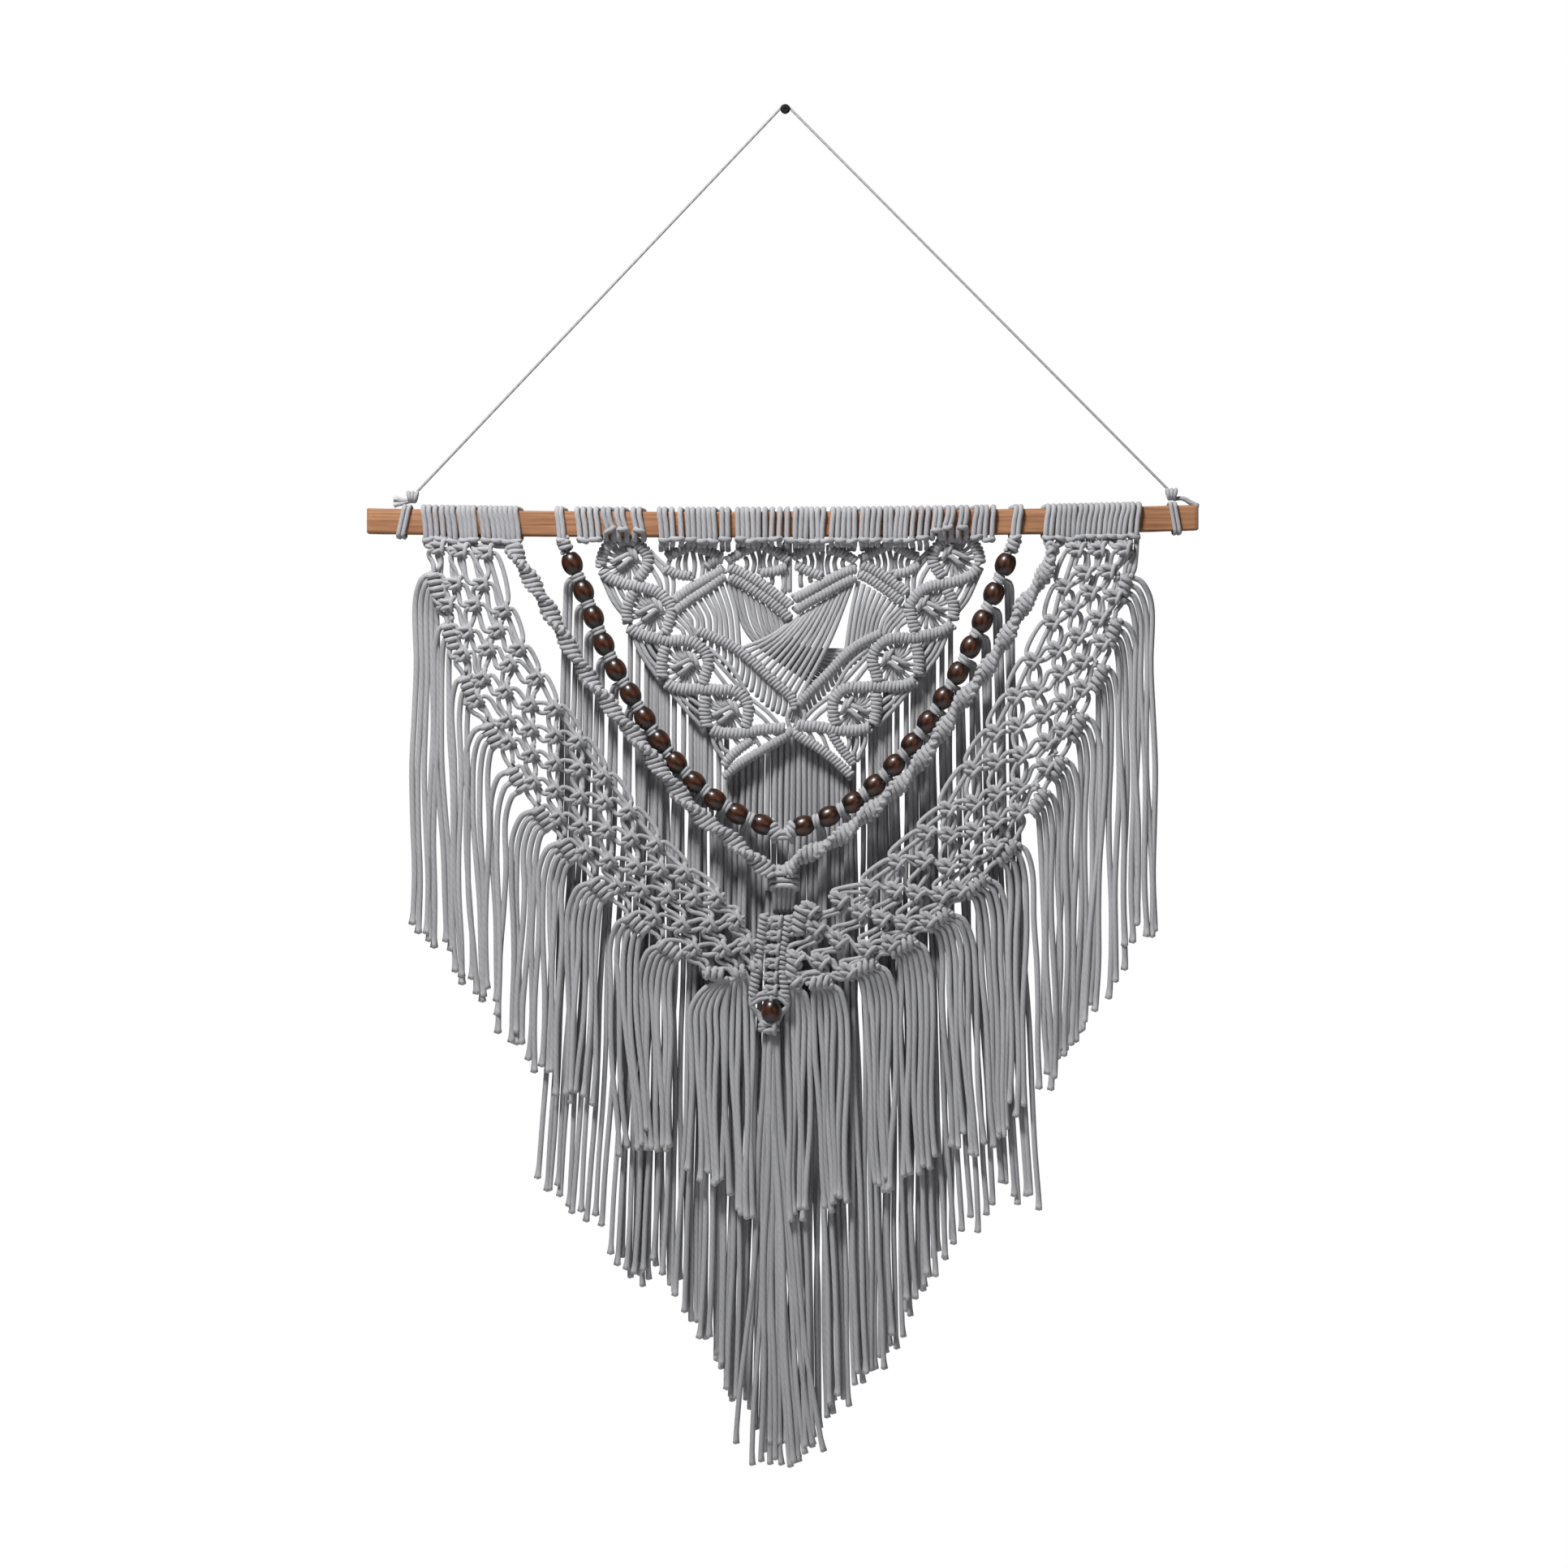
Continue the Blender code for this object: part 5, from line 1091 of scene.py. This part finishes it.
def make_chain(side):
    cords = Cords()
    flip = mirrored if side > 0 else np.asarray
    for line in CHAIN:
        bar(cords, flip(line), PANEL_Y - 1.8, 3.0, 2.2, 1.65, 2.85)
    for centre in DIAMOND_MIDDLES:
        # The fillers come from the ring's upper bars, gather in the middle and fan out to its lower bars.
        for degrees in (20, 48, 70, 90, 108, 125, 142, 162, 184, 206, 228, 246, 262, 279, 297, 318, 342):
            a = radians(degrees + rng.normal(0, 2))
            sweep = [(r * cos(a + turn), -r * sin(a + turn)) for r, turn in ((27, 0), (15, 0.12), (6, 0))]
            cords.lay(flip(centre + sweep), PANEL_Y + np.array((0.8, 0.3, 0)), 2.6, 1.6)
        # Two cords cross the gathered fillers and turn back under two short upright ones.
        for n, (x0, y0, x1, y1) in enumerate(((-17, 4.5, 8, -6.5), (-10, 12, 12, -1))):
            across = ((x0, y0), (x0 + 5, y0 - 2), (x1 - 6, y1 + 2), (x1, y1))
            cords.lay(flip(centre + across), PANEL_Y + np.array((0.5, -3.2, -3.4, -0.5)), 2.0, 1.9)
            upright = ((2 + 7 * n, 3 * n - 15), (5 + 6 * n, 3 * n - 11),
                       (9 + 5 * n, 4 * n - 3), (10 + 5 * n, 4 * n + 1))
            cords.lay(flip(centre + upright), PANEL_Y + np.array((0.5, -3.6, -4.0, -0.5)), 2.0, 1.75)
    for line in CHAIN_SIDE_CORDS:
        start, middle, stop = places(flip(line), (PANEL_Y, PANEL_Y - 1.2, PANEL_Y))
        hidden = [end + unit(end - middle) * 4.5 + (0, 0.8, 0) for end in (start, stop)]
        cords.add(through((hidden[0], start, middle, stop, hidden[1]), 3.0), SHEAF_R)
    return cords


show_cords("cotton_panel_heads", make_panel_heads(), "panel")
show_cords("cotton_panel_bars", make_panel_bars(), "panel")

# %% Panel: sheaves of free cords, then the chains
def make_sheaves():
    cords = Cords()
    for sheaf in SHEAVES:
        shares = np.linspace(0, 1, int(sheaf[0]))
        starts, middles, stops = ([a + (b - a) * t for t in shares] for a, b in sheaf[1:13].reshape(3, 2, 2))
        for start, middle, stop in zip(starts, middles, stops):
            y = sheaf[13:] + rng.normal(0, 0.25)
            middle = (middle[0] + rng.normal(0, 0.8), middle[1])
            cords.lay((start, middle, stop), y, 3.0, SHEAF_R)
    for x, top, foot, bulge in LEAF_CORDS:
        line = ((x, top), (x + bulge, (top + foot) / 2), (x + bulge * 0.3, foot))
        cords.lay(line, (PANEL_Y, PANEL_Y - 0.8, PANEL_Y), 3.0, SHEAF_R)
    return cords


show_cords("cotton_panel_sheaves", make_sheaves(), "panel")
for side, label in SIDES.items():
    show_cords("cotton_chain_" + label, make_chain(side), "panel")

# %% [markdown]
# The long strands at the back. Two leave each wrap of the beaded V, others hang below the foot bars, the
# chains and the joining knot, and all of them fall behind the net. Their cut ends draw the large point
# below.

# %% Back strands
# The point's lower edge, from left to right
BACK_ENDS = places(table("""
    684 1462  690 1467  706 1500  714 1490  722 1495  735 1512  743 1515  752 1552  762 1548  775 1563
    787 1568  808 1560  825 1592  833 1577  848 1625  862 1645  872 1633  886 1688  903 1723  913 1706
    926 1760  950 1780  985 1780  1010 1770  1034 1722  1041 1752  1059 1689  1070 1694  1090 1678
    1097 1663  1112 1637  1138 1590  1147 1565  1155 1557  1175 1530  1190 1515  1207 1507  1221 1490
    1230 1464  1245 1464  1260 1478
""")[0])


def low_edge(x):
    """Height of the lower edge's cut ends at x, in millimetres."""
    return float(np.interp(x, BACK_ENDS[:, 0], BACK_ENDS[:, 1]))


def make_bead_strands():
    cords = Cords()
    for side, spots in BEADS.items():
        for k, (a, b) in enumerate(zip(spots, spots[1:])):
            middle, run = (a + b) / 2, unit(b - a)
            across = np.array((-run[1], run[0])) * side
            for n in range(2):
                start = middle + across * 5.0 + (side * 2.2 * n, 1.0 * n)
                end_x = start[0] * 1.06 + side * (9 + 4.2 * n) - side * 3.0 * max(0, k - 8) / 4
                end_z = low_edge(end_x) + rng.normal(0, 5)
                y = BEAD_STRAND_Y + rng.normal(0, 0.7)
                first = (middle[0] + across[0] * 2.0, BEAD_Y + 0.5, middle[1] + across[1] * 2.0)
                bend = (start[0] + side * (0.6 + 0.6 * n), BEAD_Y + 2.5, start[1] - 3.0)
                fall = (start[0] + side * (1.6 + n), y, start[1] - 19)
                strand(cords, fall, (end_x, y, end_z), 2.0, 1.0, lead=(first, bend))
    return cords


def spread_line(points, count):
    line = through(points, 0.5)
    return line[np.linspace(0, len(line) - 1, count).round().astype(int)]


def row_of_strands(cords, top_line, count, end_range, y, radius=1.9, spread_y=0.6):
    """Strands from a line of tops down to the lower edge between two x, in the photograph's pixels."""
    ends = (np.linspace(*end_range, count) - SCREW_AT[0]) * PIXEL
    for (x, z), end_x in zip(places(spread_line(top_line, count)), ends):
        depth = y + rng.normal(0, spread_y)
        end_x = end_x + rng.normal(0, 1.2)
        strand(cords, (x, depth, z), (end_x, depth, low_edge(end_x) + rng.normal(0, 6)), radius, 1.0)


def make_panel_strands():
    centre, left, right = Cords(), Cords(), Cords()
    row_of_strands(centre, FEET[0], 12, (962, 880), PANEL_STRAND_Y + 1.0)
    row_of_strands(centre, FEET[2], 12, (978, 1070), PANEL_STRAND_Y + 1.0)
    behind, chain_edge = table("905 946  940 925  977 906  1010 926  1042 946,"
                               "776 773  800 780  822 835  850 843  872 888  895 899")
    row_of_strands(centre, behind, 21, (884, 1064), PANEL_STRAND_Y + 3.9, 1.8, 0.15)
    row_of_strands(left, chain_edge, 19, (765, 894), PANEL_STRAND_Y)
    row_of_strands(right, mirrored(chain_edge), 19, (1170, 1060), PANEL_STRAND_Y)
    return centre, left, right


def make_join_strands():
    cords = Cords()
    row_of_strands(cords, ((946, 1098), (982, 1098)), 7, (940, 1000), JOIN_STRAND_Y)
    return cords


show_cords("cotton_bead_strands", make_bead_strands(), "bead_strands")
for cords, label in zip(make_panel_strands(), ("centre", "left", "right")):
    show_cords("cotton_panel_strands_" + label, cords, "panel_strands_" + label)
show_cords("cotton_join_strands", make_join_strands(), "spiral_strands")

# %% Short cords under the V bar
def make_under_v():
    cords = Cords()
    for arm, sense in zip(V_BAR, (-1, 1)):
        for x, y in spread_line(arm, 19):
            fall = float(np.interp(x, (860, 900, 950, 983, 990, 1090), (12, 36, 38, 24, 22, 18)))
            points = ((x, y + 2), (x - sense * 2.0, y + fall * 0.5), (x + sense * 1.5, y + fall))
            cords.lay(points, PANEL_Y + np.array((0.5, 1.5, 3.2)), 3.5, SHEAF_R)
    return cords


show_cords("cotton_under_v", make_under_v(), "panel")

# %% [markdown]
# Below the net's point the last cords run through a bead and a square knot into the longest tassel.

# %% Tail
TAIL_ENDS = table("""
    906 1779  926 1806  937 1801  948 1805  962 1806  973 1808  983 1797  991 1792  1001 1781  1014 1789
    941 1790  955 1799  978 1803
""")[0]  # where the tassel's cut ends lie


def make_tail():
    cords = Cords()
    knot_x, knot_z = places(((949, 1264),))[0]
    Knot(knot_x, knot_z, 0.0, TAIL_BEAD_Y + 2, 1.05).tie(cords, 1.9)
    for s, (x0, y0) in ((-1, (927.5, 1233)), (1, (968.6, 1234))):
        for n in range(2):
            points = ((x0 + s * n * 2, y0 - 6), (x0 + s * (2 - n), y0 + 4 + 2 * n),
                      (948 + s * (14 - 2 * n), 1250), (949 + s * (8 - 3 * n), 1262))
            cords.lay(points, (NET_Y, NET_Y - 1, TAIL_BEAD_Y + 3.5, TAIL_BEAD_Y + 2), 3.0, 1.9)
    cords.lay(((950, 1226), (950.4, 1243), (949.5, 1262)), TAIL_BEAD_Y, 4, 1.5)
    for x, z in places(sorted(map(tuple, TAIL_ENDS))):
        start = (knot_x + (x - knot_x) * 0.14, TAIL_BEAD_Y + 5 + rng.normal(0, 0.8), knot_z - 5)
        strand(cords, start, (x, -15.0 + rng.normal(0, 1.0), z), 1.95, 1.3)
    return cords


show_cords("cotton_tail", make_tail(), "tail_tassel")

# %% [markdown]
# The ties. At each end of the rod the thin cord goes twice round it and ends in a small tight knot with a
# short free tail. The turns are loops round the rod's section, grown by the cord's radius.

# %% Ties
def tie(side, turns_x, lean, tails, tube):
    cords = Cords()
    grown = rod_outline() * (1 + (tube + 0.05) / ROD_HALF_HEIGHT)
    for x0 in turns_x:
        loop = [(x0 + lean * (z + ROD_HALF_HEIGHT), ROD_MID + y, rod_z(x0) + z) for y, z in grown]
        cords.add(through(loop + loop[:2], 2.2), tube)
    knot = np.array((TIE_KNOTS[side][0], ROD_MID - 6, TIE_KNOTS[side][1]))
    a = np.linspace(0, 2 * pi, 14)
    for k in (-1, 0, 1):
        ring = np.column_stack((2.4 * k + 1.6 * np.sin(a) * (0.5 * k), 3.4 * np.cos(a), 3.4 * np.sin(a)))
        cords.add(through(knot + ring, 1.4), 1.5)
    for tail in tails:
        line = through(places(tail, ROD_MID - 6), 2.4)
        share = np.linspace(0, 1, len(line))
        cords.add(line, 1.5 + 0.7 * share, 6, share**3, 0.3)
    cords.add(through((knot, cord_foot(side)), 2.0), THIN / 2)
    return cords


LEFT_TAILS = table("506 616  496 617  486 614, 506 617  496 620  486 622")
RIGHT_TAILS = table("1446 615  1457 614  1467 619  1476 624")
show_cords("cotton_tie_left", tie(-1, (-283.5, -280.0), 0.22, LEFT_TAILS, 1.7), "tie_left")
show_cords("cotton_tie_right", tie(1, (286.0, 289.2), -0.18, RIGHT_TAILS, 1.5), "tie_right")

# %% [markdown]
# Light. The photograph is lit softly from the front, a little from above and from the left, on white. One
# soft light and a weak fill do it, and a dim light behind keeps the back readable. The world is white to
# the camera but dim as a light, so that the strands at the back stay dark as they are behind the net.

# %% Floor, light and world
FLOOR_HALF = 1.6
floor_mesh = bpy.data.meshes.new("pale_floor")
corners = [(sx * FLOOR_HALF, sy * FLOOR_HALF, 0) for sx, sy in ((-1, -1), (1, -1), (1, 1), (-1, 1))]
floor_mesh.from_pydata(corners, [], [(0, 1, 2, 3)])
floor_mesh.materials.append(plain_material("pale_floor", Base_Color=(0.9, 0.9, 0.9, 1), Roughness=0.9)[0])
floor = bpy.data.objects.new("pale_floor", floor_mesh)
floor.location = (0, -0.6, -1.35)
bpy.context.scene.collection.objects.link(floor)


def soft_light(name, location, target, size, power):
    data = bpy.data.lights.new(name, "AREA")
    data.shape, data.size, data.size_y, data.energy = "RECTANGLE", size, size, power
    light = bpy.data.objects.new(name, data)
    light.location = location
    light.rotation_euler = (Vector(target) - Vector(location)).to_track_quat("-Z", "Y").to_euler()
    bpy.context.scene.collection.objects.link(light)


soft_light("key", (-0.6, -1.0, 1.1), (0, 0, -0.45), 0.45, 49)
soft_light("fill", (1.6, -3.0, 0.2), (0, 0, -0.5), 1.6, 4)
soft_light("back", (0.5, 3.0, 0.4), (0, 0, -0.5), 1.6, 9)

world = bpy.data.worlds.new("white")
bpy.context.scene.world = world
world.use_nodes = True
sky = world.node_tree
dim = sky.nodes["Background"]
dim.inputs["Color"].default_value, dim.inputs["Strength"].default_value = (1, 1, 1, 1), 0.015
white = add_node(sky, "ShaderNodeBackground", {"Color": (1, 1, 1, 1), "Strength": 1.0})
seen = add_node(sky, "ShaderNodeLightPath").outputs["Is Camera Ray"]
mix = add_node(sky, "ShaderNodeMixShader", {0: seen, 1: dim.outputs[0], 2: white.outputs[0]})
sky.links.new(mix.outputs[0], sky.nodes["World Output"].inputs["Surface"])
bpy.context.scene.view_settings.view_transform = "Standard"
print("lights:", [light.name for light in bpy.data.lights])

# %% Size and finish
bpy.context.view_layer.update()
total = sum(len(o.data.polygons) for o in bpy.data.objects if o.type == "MESH")
print("faces in all:", total)
